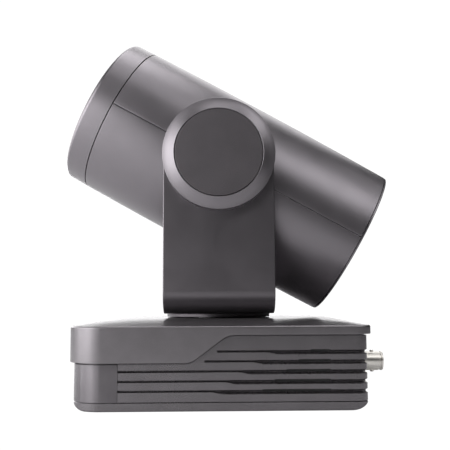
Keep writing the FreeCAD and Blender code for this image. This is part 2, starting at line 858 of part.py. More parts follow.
def yoke_bracket():
    """A U-shaped bracket of constant thickness whose arms end in half circles on the tilt axis."""
    body = new_body("yoke_body")
    top = "tilt_axis_z + yoke_half"
    plan = new_sketch(body, "yoke_outside", "XZ_Plane")
    wide = "yoke_outside"
    draw_outline(plan, [(f"-{wide}", "yoke_low"), (wide, "yoke_low"), (wide, top), (f"-{wide}", top)])
    pad(body, plan, "2 * yoke_half", both_sides=True)
    low = measure("yoke_low")
    round_edges(body, lambda edge: straight(edge, 1) and edge.CenterOfMass.z < low + 1, "yoke_bend")
    inside = new_sketch(body, "yoke_inside", "XZ_Plane")
    floor = "yoke_low + yoke_outside - yoke_inside"
    bend = "yoke_bend - yoke_outside + yoke_inside"
    narrow = "yoke_inside"
    draw_outline(
        inside,
        [
            (f"-{narrow} + {bend}", floor),
            (f"{narrow} - ({bend})", floor, bend),
            (narrow, f"{floor} + {bend}"),
            (narrow, f"{top} + 1"),
            (f"-{narrow}", f"{top} + 1"),
            (f"-{narrow}", f"{floor} + {bend}", bend),
        ],
    )
    pocket(body, inside, "3 * yoke_half", both_sides=True)
    high = measure(top)
    round_edges(body, lambda edge: straight(edge, 0) and edge.CenterOfMass.z > high - 1, "yoke_half - 0.05")
    axle_hole = new_sketch(body, "axle_hole", "YZ_Plane")
    draw_circle(axle_hole, "0", "tilt_axis_z", "axle_radius + running_gap")
    pocket(body, axle_hole, "4 * yoke_outside", both_sides=True)
    cable_hole = new_sketch(body, "yoke_cable_hole", "XY_Plane", "yoke_low")
    draw_circle(cable_hole, "0", "0", "cable_bore")
    pocket(body, cable_hole, "2 * yoke_bend", both_sides=True)
    node(body, "yoke_bracket")


def turntable():
    """The disc under the yoke, its hollow spindle, and the plate and screws on the yoke's floor."""
    heights = ("turntable_low", "yoke_low")
    disc = tube("table_disc", "Z", at((0, 0)), "turntable_radius", "cable_bore", heights)
    node(disc, "pan_turntable")
    tube_part = rod("spindle_tube", "Z", at((0, 0)), "spindle_radius", ("14", "turntable_low"))
    under_table = ("turntable_low - 2.5", "turntable_low")
    flange = rod("spindle_flange", "Z", at((0, 0)), "hub_opening - 1", under_table)
    bore = rod("spindle_bore", "Z", at((0, 0)), "cable_bore", ("10", "50"))
    node(cut("spindle_cut", fuse("spindle_set", tube_part, flange), bore), "pan_spindle")
    floor = "yoke_low + yoke_outside - yoke_inside"
    plate = rod("floor_disc", "Z", at((0, 0)), "floor_plate_radius", (floor, f"{floor} + floor_sheet"))
    node(plate, "yoke_floor_plate")
    screws = []
    seat = f"{floor} + floor_sheet"
    for index in range(YOKE_SCREWS):
        turn = 2 * math.pi * (index + 0.5) / YOKE_SCREWS
        spot = at((round(SCREW_CIRCLE * math.cos(turn), 3), round(SCREW_CIRCLE * math.sin(turn), 3)))
        head = rod(f"yoke_screw_head{index}", "Z", spot, "2.8", (seat, f"{seat} + 1.2"))
        socket = rod(f"yoke_screw_socket{index}", "Z", spot, "1.2", (f"{seat} + 0.4", f"{seat} + 3"))
        screws.append(cut(f"yoke_screw{index}", head, socket))
    node(group("yoke_screw_set", screws), "yoke_screws")


def hub(side, sign):
    """The round cover over one pivot, with its flat cap."""
    rim, face, outside = "puck_rim", "puck_face", "yoke_outside"
    corners = [
        ("0", f"{outside} + 3.2"),
        ("16", f"{outside} + 3.2"),
        ("16", outside),
        ("puck_radius", outside),
        ("puck_radius", f"{rim} - 0.5"),
        ("puck_radius - 0.5", rim),
        ("disc_radius + 0.6", face),
        ("disc_radius + 0.15", f"{face} - 0.1"),
        ("disc_radius + 0.15", f"{face} - 2.6"),
        ("0", f"{face} - 2.6"),
    ]
    puck = turned(f"{side}_puck", [(radius, out) for radius, out in corners])
    disc = turned(
        f"{side}_disc",
        [
            ("0", f"{face} - 2.6"),
            ("disc_radius", f"{face} - 2.6"),
            ("disc_radius", f"{face} - 0.25"),
            ("disc_radius - 0.25", face),
            ("0", face),
        ],
    )
    outward = Rotation(Vector(0, 0, 1), -90 * sign)
    for item, label in ((puck, f"{side}_hub_cover"), (disc, f"{side}_hub_cap")):
        item.Placement = Placement(Vector(), outward)
        bind(item, ".Placement.Base.z", "tilt_axis_z")
        node(item, label)


def axle(side, sign):
    """A hollow stub fixed to the yoke. The head's bearing turns on it and its cable runs through."""
    name = f"{side}_axle"
    ends = ("axle_end", "yoke_outside")
    flange = ("yoke_outside", "yoke_outside + 2.4")
    if sign < 0:
        ends = tuple(f"-({end})" for end in reversed(ends))
        flange = tuple(f"-({end})" for end in reversed(flange))
    centre = ("0", "tilt_axis_z")
    shaft = rod(f"{name}_shaft", "X", centre, "axle_radius", ends)
    collar = rod(f"{name}_collar", "X", centre, "14", flange)
    bore = rod(f"{name}_bore", "X", centre, "5.5", ("-(puck_face)", "puck_face"))
    node(cut(f"{name}_cut", fuse(f"{name}_set", shaft, collar), bore), name)


def tilt_gears():
    """A gear fixed on the yoke's axle, inside the head, and the pinion that walks round it."""
    module, face = measure("tilt_module"), 3.5
    teeth, few = int(measure("tilt_teeth")), int(measure("pinion_teeth"))
    tilt = math.radians(measure("tilt_rest"))
    height = measure("tilt_axis_z")
    low = -measure("axle_end") - face
    # Turned so that the gear's own Z lies along X and its own X along Y
    along_x = Rotation(Vector(0, 1, 0), Vector(0, 0, 1), Vector(1, 0, 0), "XYZ")
    wheel = gear_blank(module, teeth, face, measure("axle_radius"), -tilt)
    node(gear("tilt_wheel", wheel, Placement(Vector(low, 0, height), along_x)), "tilt_gear")
    spacing = module * (teeth + few) / 2
    pinion = gear_blank(module, few, face, 0.5, math.pi - tilt + math.pi / few)
    shaft = Part.makeCylinder(1.5, face + 15, Vector())
    centre = Vector(low, spacing * math.cos(tilt), height - spacing * math.sin(tilt))
    node(gear("tilt_drive", pinion.fuse(shaft), Placement(centre, along_x)), "tilt_pinion")


# ---------------------------------------------------------------- head


def barrel_shells():
    """The barrel is turned in one piece and split at mid height, with a round notch for each axle."""
    barrel = turned(
        "barrel",
        [
            ("barrel_bore", "barrel_front"),
            ("barrel_radius_front", "barrel_front", "barrel_arc"),
            ("barrel_radius_rear", "barrel_rear"),
            ("barrel_bore", "barrel_rear"),
        ],
    )
    notch = rod("axle_notch", "X", ("0", "0"), "axle_radius + 4", ("-60", "60"))
    side = ("-60", "60")
    length = ("-90", "90")
    upper = block("upper_half", side, length, ("split_high", "60"))
    lower = block("lower_half", side, length, ("-60", "split_low"))
    node(cut("upper_cut", common("upper_barrel", barrel, upper), notch), "upper_shell", in_head=True)
    posts = []
    for index, spot in enumerate(MODULE_POSTS):
        posts.append(rod(f"module_post{index}", "Z", at(spot), "3", ("-38", "-24")))
    tongues = []
    walls = [("-barrel_bore", "-barrel_bore + 1.6"), ("barrel_bore - 1.6", "barrel_bore")]
    for index, span in enumerate(walls):
        for end, run in (("front", ("-55", "-14")), ("rear", ("40", "79"))):
            tongues.append(block(f"tongue_{end}{index}", span, run, ("-5", "3")))
    limit = rod("tongue_limit", "Y", ("0", "0"), "barrel_bore", ("-60", "80"))
    trimmed = common("tongue_trim", group("tongue_set", tongues), limit)
    shell = fuse("lower_set", common("lower_barrel", barrel, lower), trimmed, *posts)
    node(cut("lower_cut", shell, notch), "lower_shell", in_head=True)


def front_ring():
    ring = turned(
        "ring_turned",
        [
            ("barrel_radius_front", "ring_seam"),
            ("barrel_bore - 0.2", "ring_seam"),
            ("barrel_bore - 0.2", "ring_seam + 5"),
            ("barrel_bore - 2", "ring_seam + 5"),
            ("barrel_bore - 2", "ring_front + 6.2"),
            ("34.5", "ring_front + 6.2"),
            ("34.5", "ring_front + 4.2"),
            ("glass_radius + 0.2", "ring_front + 4.2"),
            ("glass_radius + 0.2", "ring_front + 0.8"),
            ("glass_radius + 1", "ring_front"),
            ("ring_radius", "ring_front"),
        ],
    )
    outer = measure("ring_radius")
    front = measure("ring_front")

    def on_front_rim(edge):
        return edge.BoundBox.XLength > 2 * outer - 0.01 and edge.CenterOfMass.y < front + 0.1

    round_edges(ring, on_front_rim, "ring_round")
    node(ring, "front_ring", in_head=True)


def optics():
    """Front glass, light mask, lens tube with its big element, and the zoom block behind."""
    front = measure("ring_front")
    glass = rod("glass_disc", "Y", ("0", "0"), "glass_radius", ("ring_front + 2", "ring_front + 4.2"))
    node(group("glass_only", [glass]), "front_glass", in_head=True)
    mask = tube("mask_ring", "Y", ("0", "0"), "barrel_bore - 2.05", "20.5", at((front + 6.2, front + 7.4)))
    node(mask, "lens_mask", in_head=True)
    lens_tube = turned(
        "lens_tube_turned",
        [
            ("19.5", "ring_front + 7.4"),
            ("22", "ring_front + 7.4"),
            ("22", "-38"),
            ("12.5", "-38"),
            ("12.5", "-40"),
            ("19.5", "-40"),
        ],
    )
    node(lens_tube, "lens_tube", in_head=True)
    lens = turned(
        "lens_turned",
        [("0", "-66.5", "52"), ("19.5", "-62.8"), ("19.5", "-58.5"), ("0", "-60")],
    )
    node(lens, "front_lens", in_head=True)
    case = block("zoom_case", ("-24", "24"), ("-38", "1"), ("-24", "24"))
    bore = rod("zoom_bore", "Y", ("0", "0"), "18", ("-39", "-1"))
    gate = block("sensor_gate", ("-5", "5"), ("-2", "2"), ("-4", "4"))
    node(cut("zoom_case_cut", case, bore, gate), "zoom_housing", in_head=True)
    rods = []
    for index, across in enumerate(GUIDES):
        rods.append(rod(f"guide{index}", "Y", (across, "0"), "1", ("-38", "-1")))
    node(group("guide_pair", rods), "guide_rods", in_head=True)
    sensor = block("sensor_chip", ("-4.5", "4.5"), ("0.2", "1"), ("-3.5", "3.5"))
    board = block("sensor_sheet", ("-22", "22"), ("1", "2.6"), ("-22", "22"))
    node(fuse("sensor_set", sensor, board), "sensor_board", in_head=True)


def lens_group(name, middle, lens_radius):
    """A lens carriage that slides on the two guide rods."""
    half = 2.5
    ring = rod(f"{name}_ring", "Y", ("0", "0"), "17.4", at((middle - half, middle + half)))
    through = at((middle - 2 * half, middle + 2 * half))
    holes = []
    for index, across in enumerate(GUIDES):
        holes.append(rod(f"{name}_guide{index}", "Y", (across, "0"), "1 + running_gap", through))
    seat = rod(f"{name}_seat", "Y", ("0", "0"), str(lens_radius), through)
    lens = rod(f"{name}_glass", "Y", ("0", "0"), str(lens_radius), at((middle - 1.5, middle + 1.5)))
    carriage = cut(f"{name}_carriage", ring, seat, *holes)
    node(group(f"{name}_set", [carriage, lens]), name, in_head=True)


def head_frame():
    """Two side plates that carry the bearings, a rear plate and a tab for the tilt motor."""
    body = new_body("frame_body")
    plan = new_sketch(body, "frame_plan", "XY_Plane")
    draw_outline(
        plan,
        [
            ("-36", "-16"),
            ("-34", "-16"),
            ("-34", "36"),
            ("-28.5", "36"),
            ("-28.5", "6"),
            ("-26.5", "6"),
            ("-26.5", "36"),
            ("34", "36"),
            ("34", "-16"),
            ("36", "-16"),
            ("36", "38"),
            ("-36", "38"),
        ],
    )
    pad(body, plan, "36.4", both_sides=True)
    bores = new_sketch(body, "bearing_bores", "YZ_Plane")
    draw_circle(bores, "0", "0", "axle_radius + 3")
    pocket(body, bores, "100", both_sides=True)
    nose = new_sketch(body, "motor_nose_bore", "YZ_Plane", "-27.5")
    draw_circle(nose, "tilt_module * (tilt_teeth + pinion_teeth) / 2", "0", "4")
    pocket(body, nose, "6", both_sides=True)
    node(body, "head_frame", in_head=True)
    spots = (("33", "38.5"), ("-38.5", "-33"))
    rings = []
    for index, span in enumerate(spots):
        rings.append(
            tube(f"tilt_ring{index}", "X", ("0", "0"), "axle_radius + 3", "axle_radius + running_gap", span)
        )
    node(group("tilt_rings", rings), "tilt_bearings", in_head=True)


def tilt_motor():
    spot = ("tilt_module * (tilt_teeth + pinion_teeth) / 2", "0")
    case = rod("tilt_motor_case", "X", spot, "12.5", ("-26.5", "-12"))
    nose = rod("tilt_motor_nose", "X", spot, "4", ("-28.5", "-26.5"))
    bore = rod("tilt_motor_bore", "X", spot, "1.55", ("-30", "-14"))
    node(cut("tilt_motor_cut", fuse("tilt_motor_set", case, nose), bore), "tilt_motor", in_head=True)


def head_electronics():
    board = block("head_board_sheet", ("-30", "30"), ("50", "51.6"), ("-24", "24"))
    chip = block("head_chip", ("-9", "9"), ("51.6", "53.4"), ("-9", "9"))
    node(fuse("head_board_set", board, chip), "head_board", in_head=True)
    pillars = []
    for index, (across, up) in enumerate(BOARD_PILLARS):
        pillars.append(rod(f"pillar{index}", "Y", at((across, up)), "2.5", ("38", "50")))
    node(group("pillar_set", pillars), "head_standoffs", in_head=True)


def rear_cap():
    cap = turned(
        "cap_turned",
        [
            ("0", "barrel_rear - 0.6"),
            ("barrel_bore - 2", "barrel_rear - 0.6"),
            ("barrel_bore - 2", "barrel_rear - 6"),
            ("barrel_bore - 0.1", "barrel_rear - 6"),
            ("barrel_bore - 0.1", "barrel_rear + 0.3"),
            ("barrel_radius_rear - 0.15", "barrel_rear + 0.3"),
            ("barrel_radius_rear - 0.15", "cap_end - 0.3"),
            ("barrel_radius_rear - 0.45", "cap_end"),
            ("0", "cap_end"),
        ],
    )
    node(cap, "rear_cap", in_head=True)


# ---------------------------------------------------------------- build, check and write


def build():
    bottom_tray()
    tripod_socket()
    rubber_feet()
    tray_screws()
    main_housing()
    top_cover()
    ir_window()
    front_board()
    rear_panel()
    board_pair()
    connectors()
    bnc_jack()
    pan_deck()
    pan_motor()
    pan_gears()
    yoke_bracket()
    turntable()
    for side, sign in (("left", 1), ("right", -1)):
        hub(side, sign)
        axle(side, sign)
    tilt_gears()
    barrel_shells()
    front_ring()
    optics()
    lens_group("zoom_lens_group", -33.4, 10)
    lens_group("focus_lens_group", -10.5, 8)
    head_frame()
    tilt_motor()
    head_electronics()
    rear_cap()
    doc.recompute()


def check_and_write():
    bad = {"Invalid", "Error"}
    failed = [f"{item.Name}: {item.State}" for item in doc.Objects if bad & set(item.State)]
    failed += [item.Label for item in nodes if item.Shape.isNull() or not item.Shape.isValid()]
    if failed:
        raise SystemExit(f"not built: {failed}")
    os.makedirs("parts", exist_ok=True)
    for item in nodes:
        item.Shape.exportStep(f"parts/{item.Label}.step")


build()
check_and_write()
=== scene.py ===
import json
from math import acos, asin, atan2, copysign, cos, pi, radians, sin, sqrt, tan

import bmesh
import bpy
from mathutils import Matrix, Vector

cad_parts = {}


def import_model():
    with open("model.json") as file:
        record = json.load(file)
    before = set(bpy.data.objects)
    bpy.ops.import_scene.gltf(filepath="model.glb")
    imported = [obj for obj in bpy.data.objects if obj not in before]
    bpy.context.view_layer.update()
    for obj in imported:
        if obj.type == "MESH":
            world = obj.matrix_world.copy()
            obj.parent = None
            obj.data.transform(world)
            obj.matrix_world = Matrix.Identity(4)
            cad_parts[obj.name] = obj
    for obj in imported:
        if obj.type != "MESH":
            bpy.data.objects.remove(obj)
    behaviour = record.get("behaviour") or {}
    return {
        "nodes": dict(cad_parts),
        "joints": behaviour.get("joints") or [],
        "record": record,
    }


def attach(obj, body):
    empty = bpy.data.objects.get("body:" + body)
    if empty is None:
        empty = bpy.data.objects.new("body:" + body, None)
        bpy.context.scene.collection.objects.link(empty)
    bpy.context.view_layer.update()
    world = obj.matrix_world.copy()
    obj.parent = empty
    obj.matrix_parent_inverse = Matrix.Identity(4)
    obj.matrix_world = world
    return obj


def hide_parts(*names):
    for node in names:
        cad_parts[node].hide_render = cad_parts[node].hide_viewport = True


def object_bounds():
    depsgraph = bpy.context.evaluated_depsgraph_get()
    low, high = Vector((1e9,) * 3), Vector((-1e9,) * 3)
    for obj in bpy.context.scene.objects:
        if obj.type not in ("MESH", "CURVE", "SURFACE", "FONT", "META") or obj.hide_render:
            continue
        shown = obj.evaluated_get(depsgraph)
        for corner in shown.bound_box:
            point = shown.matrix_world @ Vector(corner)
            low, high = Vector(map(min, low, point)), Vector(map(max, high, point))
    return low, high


# A pan-tilt-zoom conference camera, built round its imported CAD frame. Shapes are drawn in
# millimetres. Pieces of the head are drawn level about the tilt axis, with Y to the rear, and are
# then placed by HEAD.

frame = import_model()
cad_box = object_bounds()

MM = 0.001
WELD = 1e-5
SIDES = 144
CREASE = radians(32)
HERE = Matrix.Identity(4)

JOINTS = {joint["name"]: joint for joint in frame["joints"]}
BARREL_LINE = Vector(JOINTS["zoom_slide"]["axis"])
NOSE_UP = atan2(-BARREL_LINE.z, BARREL_LINE.y)
PIVOT = Vector(JOINTS["tilt"]["pos_m"])
HEAD = Matrix.Translation(PIVOT) @ Matrix.Rotation(-NOSE_UP, 4, "X")
AXIS_Z = PIVOT.z / MM


def box_of(points):
    """The lowest and highest corners of points in metres, given in millimetres."""
    return [Vector(pick(point[axis] for point in points) for axis in range(3)) / MM for pick in (min, max)]


def span(node, place=HERE):
    """A CAD node's lowest and highest corners in millimetres, in the frame that place stands for."""
    back = place.inverted()
    return box_of([back @ vertex.co for vertex in frame["nodes"][node].data.vertices])


def round_solids(node):
    """Centre in plan, radius, bottom and top of each separate solid of a CAD node, in millimetres."""
    mesh = bmesh.new()
    mesh.from_mesh(frame["nodes"][node].data)
    bmesh.ops.remove_doubles(mesh, verts=mesh.verts, dist=WELD * MM)
    left = set(mesh.verts)
    boxes = []
    while left:
        edge = [left.pop()]
        member = []
        while edge:
            here = edge.pop()
            member.append(here.co.copy())
            for link in here.link_edges:
                other = link.other_vert(here)
                if other in left:
                    left.remove(other)
                    edge.append(other)
        boxes.append(box_of(member))
    mesh.free()
    boxes.sort(key=lambda box: tuple(round(value, 2) for value in box[0]))
    middles = [(low + high) / 2 for low, high in boxes]
    return [((m.x, m.y), (high.x - low.x) / 2, low.z, high.z) for m, (low, high) in zip(middles, boxes)]


# ------------ shapes


def eased(corners, steps=4):
    """A closed outline whose corners with a third value are rounded to that radius."""
    made = []
    for index, corner in enumerate(corners):
        here = Vector(corner[:2])
        if len(corner) == 2:
            made.append(here)
            continue
        radius = corner[2]
        back = (Vector(corners[index - 1][:2]) - here).normalized()
        ahead = (Vector(corners[(index + 1) % len(corners)][:2]) - here).normalized()
        half = back.angle(ahead) / 2
        reach = radius / tan(half)
        centre = here + (back + ahead).normalized() * (radius / sin(half))
        first = here + back * reach - centre
        last = here + ahead * reach - centre
        for step in range(steps + 1):
            direction = first.lerp(last, step / steps).normalized()
            made.append(centre + direction * radius)
    return made


def bands(rings, sides, closed):
    """Faces that join rings of points in turn. When closed, the last ring joins the first."""
    faces = []
    for ring in range(rings if closed else rings - 1):
        here, following = ring * sides, (ring + 1) % rings * sides
        for side in range(sides):
            beside = (side + 1) % sides
            faces.append([here + side, here + beside, following + beside, following + side])
    return faces


def around(centre, reach, sides):
    """Points round a centre. Reach is a radius, or a function of the angle."""
    for side in range(sides):
        angle = 2 * pi * side / sides
        radius = reach(angle) if callable(reach) else reach
        yield centre[0] + radius * cos(angle), centre[1] + radius * sin(angle)


def turned(section, axis="Y", centre=(0, 0), sides=SIDES):
    """A section of (radius, distance) points spun about an axis. It is closed, or ends on the axis."""
    points = []
    for radius, along in section:
        for across, up in around(centre, radius, sides):
            points.append({"X": (along, across, up), "Y": (across, along, up), "Z": (across, up, along)}[axis])
    return points, bands(len(section), sides, section[0][0] != 0)


def stacked(loops, ends=True):
    """Loops of equal length joined in turn. The ends are capped, or the last loop joins the first."""
    count = len(loops[0])
    points = [tuple(point) for loop in loops for point in loop]
    faces = bands(len(loops), count, not ends)
    if ends:
        faces.append(list(range(count))[::-1])
        faces.append(list(range(len(points) - count, len(points))))
    return points, faces


def walled(outer, inner, present=lambda row, column: True, loop=False):
    """A closed solid between two equal grids of points, with an opening where present is false."""
    rows, columns = len(outer), len(outer[0])
    points = [tuple(point) for grid in (outer, inner) for row in grid for point in row]
    last = columns if loop else columns - 1

    def index(layer, row, column):
        return (layer * rows + row) * columns + column % columns

    def filled(row, column):
        if loop:
            column %= columns
        return 0 <= row < rows - 1 and 0 <= column < last and present(row, column)

    faces = []
    for row in range(rows - 1):
        for column in range(last):
            if not filled(row, column):
                continue
            ring = [(row, column), (row, column + 1), (row + 1, column + 1), (row + 1, column)]
            faces.append([index(0, *corner) for corner in ring])
            faces.append([index(1, *corner) for corner in reversed(ring)])
            beside = ((row - 1, column), (row, column + 1), (row + 1, column), (row, column - 1))
            for side, neighbour in enumerate(beside):
                if not filled(*neighbour):
                    first, second = ring[side], ring[(side + 1) % 4]
                    faces.append([index(0, *second), index(0, *first), index(1, *first), index(1, *second)])
    return points, faces


def slab(low, high, round_by):
    """A box with small chamfers on all its edges."""
    soft = min(round_by, *((high[axis] - low[axis]) / 2.5 for axis in range(3)))
    loops = []
    for inset, height in ((soft, low[2]), (0, low[2] + soft), (0, high[2] - soft), (soft, high[2])):
        left, front, right, rear = low[0] + inset, low[1] + inset, high[0] - inset, high[1] - inset
        plan = [(left + soft, front), (right - soft, front), (right, front + soft), (right, rear - soft)]
        plan += [(right - soft, rear), (left + soft, rear), (left, rear - soft), (left, front + soft)]
        loops.append([(x, y, height) for x, y in plan])
    return stacked(loops)


def rod(axis, centre, radius, start, end, soft, sides):
    """A cylinder with chamfered ends."""
    section = [(0, start), (radius - soft, start), (radius, start + soft)]
    section += [(radius, end - soft), (radius - soft, end), (0, end)]
    return turned(section, axis, centre, sides)


# ------------ pieces


def in_scene(name, data):
    """A new object of the scene."""
    item = bpy.data.objects.new(name, data)
    bpy.context.scene.collection.objects.link(item)
    return item


def mesh_of(name, shapes, place):
    """One mesh of closed shapes drawn in millimetres."""
    build = bmesh.new()
    for points, faces in shapes:
        corners = [build.verts.new(point) for point in points]
        for face in faces:
            build.faces.new([corners[index] for index in face])
    bmesh.ops.remove_doubles(build, verts=build.verts, dist=WELD)
    bmesh.ops.dissolve_degenerate(build, edges=build.edges, dist=WELD)
    bmesh.ops.delete(build, geom=[vertex for vertex in build.verts if not vertex.link_faces], context="VERTS")
    bmesh.ops.recalc_face_normals(build, faces=build.faces)
    bmesh.ops.transform(build, matrix=place @ Matrix.Scale(MM, 4), verts=build.verts)
    mesh = bpy.data.meshes.new(name)
    build.to_mesh(mesh)
    build.free()
    return mesh


def carved(item, cutters, place):
    """The item's mesh with the cutters taken away."""
    tool = in_scene("cutter", mesh_of("cutter", cutters, place))
    cut = item.modifiers.new("cut", "BOOLEAN")
    cut.object = tool
    cut.operation = "DIFFERENCE"
    cut.solver = "EXACT"
    bpy.context.view_layer.update()
    shown = item.evaluated_get(bpy.context.evaluated_depsgraph_get())
    mesh = bpy.data.meshes.new_from_object(shown)
    item.modifiers.clear()
    item.data = mesh
    bpy.data.objects.remove(tool)


def piece(name, shapes, body, slot, stands_for=(), place=HERE, cutters=(), finish=None):
    """A finished piece: closed shapes in one object, with holes cut, smoothed, painted and riding on a body."""
    item = in_scene(name, mesh_of(name, shapes, place))
    if cutters:
        carved(item, cutters, place)
    item.data.shade_smooth()
    item.data.set_sharp_from_angle(angle=CREASE)
    flat = item.modifiers.new("flat_faces", "WEIGHTED_NORMAL")
    flat.keep_sharp = True
    item.data.materials.clear()
    item.data.materials.append(MATERIALS[finish or slot])
    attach(item, body)
    if stands_for:
        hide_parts(*stands_for)
    return item


# ------------ materials


class Paint:
    """A Principled material under construction, with its texture drawn in the object's own frame."""

    def __init__(self, name, roughness, **constants):
        self.name = name
        self.material = bpy.data.materials.new(name)
        self.material.use_nodes = True
        self.tree = self.material.node_tree
        self.shader = self.tree.nodes["Principled BSDF"]
        self.shader.inputs["Roughness"].default_value = roughness
        for socket, value in constants.items():
            self.shader.inputs[socket.replace("_", " ")].default_value = value
        self.place = self.node("TexCoord").outputs["Object"]
        self.last_bump = None

    def node(self, kind):
        return self.tree.nodes.new("ShaderNode" + kind)

    def link(self, source, target):
        self.tree.links.new(source, target)

    def texture(self, kind, size, stretch):
        """A texture whose features are size millimetres across."""
        node = self.node(kind)
        node.inputs["Scale"].default_value = 1 / (size * MM)
        mapping = self.node("Mapping")
        mapping.inputs["Scale"].default_value = stretch
        self.link(self.place, mapping.inputs["Vector"])
        self.link(mapping.outputs["Vector"], node.inputs["Vector"])
        return node

    def noise(self, size, detail=2.0, stretch=(1, 1, 1)):
        node = self.texture("TexNoise", size, stretch)
        node.inputs["Detail"].default_value = detail
        return node.outputs["Fac"]

    def cells(self, size, stretch=(1, 1, 1)):
        return self.texture("TexVoronoi", size, stretch).outputs["Distance"]

    def ramp(self, value, low, high, start=0.35, end=0.65):
        node = self.node("ValToRGB")
        for element, position, colour in zip(node.color_ramp.elements, (start, end), (low, high)):
            element.position, element.color = position, (*colour, 1)
        self.link(value, node.inputs["Fac"])
        return node.outputs["Color"]

    def blended(self, first, second, factor):
        node = self.node("Mix")
        node.data_type = "RGBA"
        for source, socket in ((first, 6), (second, 7), (factor, 0)):
            if isinstance(source, bpy.types.NodeSocket):
                self.link(source, node.inputs[socket])
            else:
                node.inputs[socket].default_value = source
        return node.outputs[2]

    def ranged(self, value, low, high, start=0.3, end=0.7):
        node = self.node("MapRange")
        for name, number in (("From Min", start), ("From Max", end), ("To Min", low), ("To Max", high)):
            node.inputs[name].default_value = number
        self.link(value, node.inputs["Value"])
        return node.outputs["Result"]

    def colour(self, value):
        self.link(value, self.shader.inputs["Base Color"])

    def rough(self, value, low, high):
        self.link(self.ranged(value, low, high), self.shader.inputs["Roughness"])

    def bump(self, height, depth, strength=1.0):
        """Raises the surface by height times depth millimetres, over any bump made before."""
        node = self.node("Bump")
        node.inputs["Distance"].default_value = depth * MM
        node.inputs["Strength"].default_value = strength
        self.link(height, node.inputs["Height"])
        if self.last_bump:
            self.link(self.last_bump, node.inputs["Normal"])
        self.last_bump = node.outputs["Normal"]
        self.link(self.last_bump, self.shader.inputs["Normal"])


def shades(colour, spread):
    """A darker and a lighter version of a colour."""
    return tuple(tuple(channel * (1 + sign * spread) for channel in colour) for sign in (-1, 1))


def plain(name, colour, roughness, grain, depth, spread=0.08, **constants):
    """A solid colour broken up by soft patches, a fine grain and an uneven sheen."""
    paint = Paint(name, roughness, **constants)
    low, high = shades(colour, spread)
    fine = paint.noise(grain, 3.0)
    mixed = paint.blended(paint.noise(9.0), fine, 0.45)
    paint.colour(paint.ramp(mixed, low, high))
    paint.rough(mixed, roughness * 0.86, roughness * 1.14)
    paint.bump(fine, depth)
    return paint


def satin_paint(name, colour, roughness, metallic, depth):
    """Dark metallic lacquer: a fine orange peel over tiny flakes."""
    paint = Paint(name, roughness, Metallic=metallic, Coat_Weight=0.08, Coat_Roughness=0.3)
    low, high = shades(colour, 0.05)
    flake = paint.cells(0.22)
    fine = paint.noise(0.45, 3.0)
    broad = paint.noise(14.0)
    mixed = paint.blended(broad, flake, 0.35)
    paint.colour(paint.ramp(mixed, low, high, 0.2, 0.8))
    paint.rough(broad, roughness * 0.94, roughness * 1.06)
    paint.bump(fine, depth)
    paint.bump(paint.noise(3.5, 1.0), depth * 0.6)
    return paint


def moulded(name, colour, roughness, metallic, depth):
    """Fine spark-eroded texture on a moulded shell."""
    paint = Paint(name, roughness, Metallic=metallic)
    low, high = shades(colour, 0.07)
    pits = paint.cells(0.38)
    fine = paint.noise(0.3, 4.0)
    mixed = paint.blended(paint.noise(11.0), fine, 0.4)
    paint.colour(paint.ramp(mixed, low, high))
    paint.rough(fine, roughness * 0.9, roughness * 1.1)
    paint.bump(pits, depth)
    paint.bump(fine, depth * 0.7)
    return paint


def metal(name, colour, roughness, stretch=(1, 1, 1), grain=0.5, depth=0.01):
    """Bare metal with fine scratches that follow its machining, and a slight tarnish."""
    paint = Paint(name, roughness, Metallic=1.0)
    low, high = shades(colour, 0.06)
    scratch = paint.noise(grain, 5.0, stretch)
    cloud = paint.noise(4.0, 3.0)
    paint.colour(paint.ramp(paint.blended(cloud, scratch, 0.4), low, high))
    paint.rough(paint.blended(cloud, scratch, 0.5), roughness * 0.7, roughness * 1.3)
    paint.bump(scratch, depth)
    return paint


def circuit_board(name):
    """Green solder mask with lighter tracks under it and bright pads."""
    paint = Paint(name, 0.35, Coat_Weight=0.4, Coat_Roughness=0.15)
    track = paint.cells(2.2, (1, 0.25, 1))
    mask = paint.ramp(track, (0.012, 0.075, 0.03), (0.03, 0.15, 0.06), 0.3, 0.34)
    pad = paint.ramp(paint.cells(1.6), (1, 1, 1), (0, 0, 0), 0.1, 0.14)
    paint.colour(paint.blended(mask, (0.45, 0.4, 0.22, 1), pad))
    paint.rough(paint.noise(1.5), 0.28, 0.42)
    paint.bump(track, 0.03, 0.4)
    return paint


def glass(name, colour, **constants):
    """Clear or tinted glass with the faintest of smears."""
    polish, smear = 0.01, 0.025
    paint = Paint(name, polish, Transmission_Weight=1.0, IOR=1.5, **constants)
    paint.shader.inputs["Base Color"].default_value = (*colour, 1)
    paint.rough(paint.noise(6.0, 3.0), polish, smear)
    return paint


def smoked(name):
    """Dark glossy acrylic with a faint moulded ripple."""
    paint = Paint(name, 0.24, Metallic=0.75, Anisotropic=0.9, Anisotropic_Rotation=0.25)
    paint.colour(paint.ramp(paint.noise(16.0, 1.0), (0.15, 0.139, 0.15), (0.18, 0.168, 0.18)))
    paint.rough(paint.noise(2.5, 3.0), 0.22, 0.26)
    paint.bump(paint.noise(9.0, 1.0), 0.015, 0.5)
    return paint


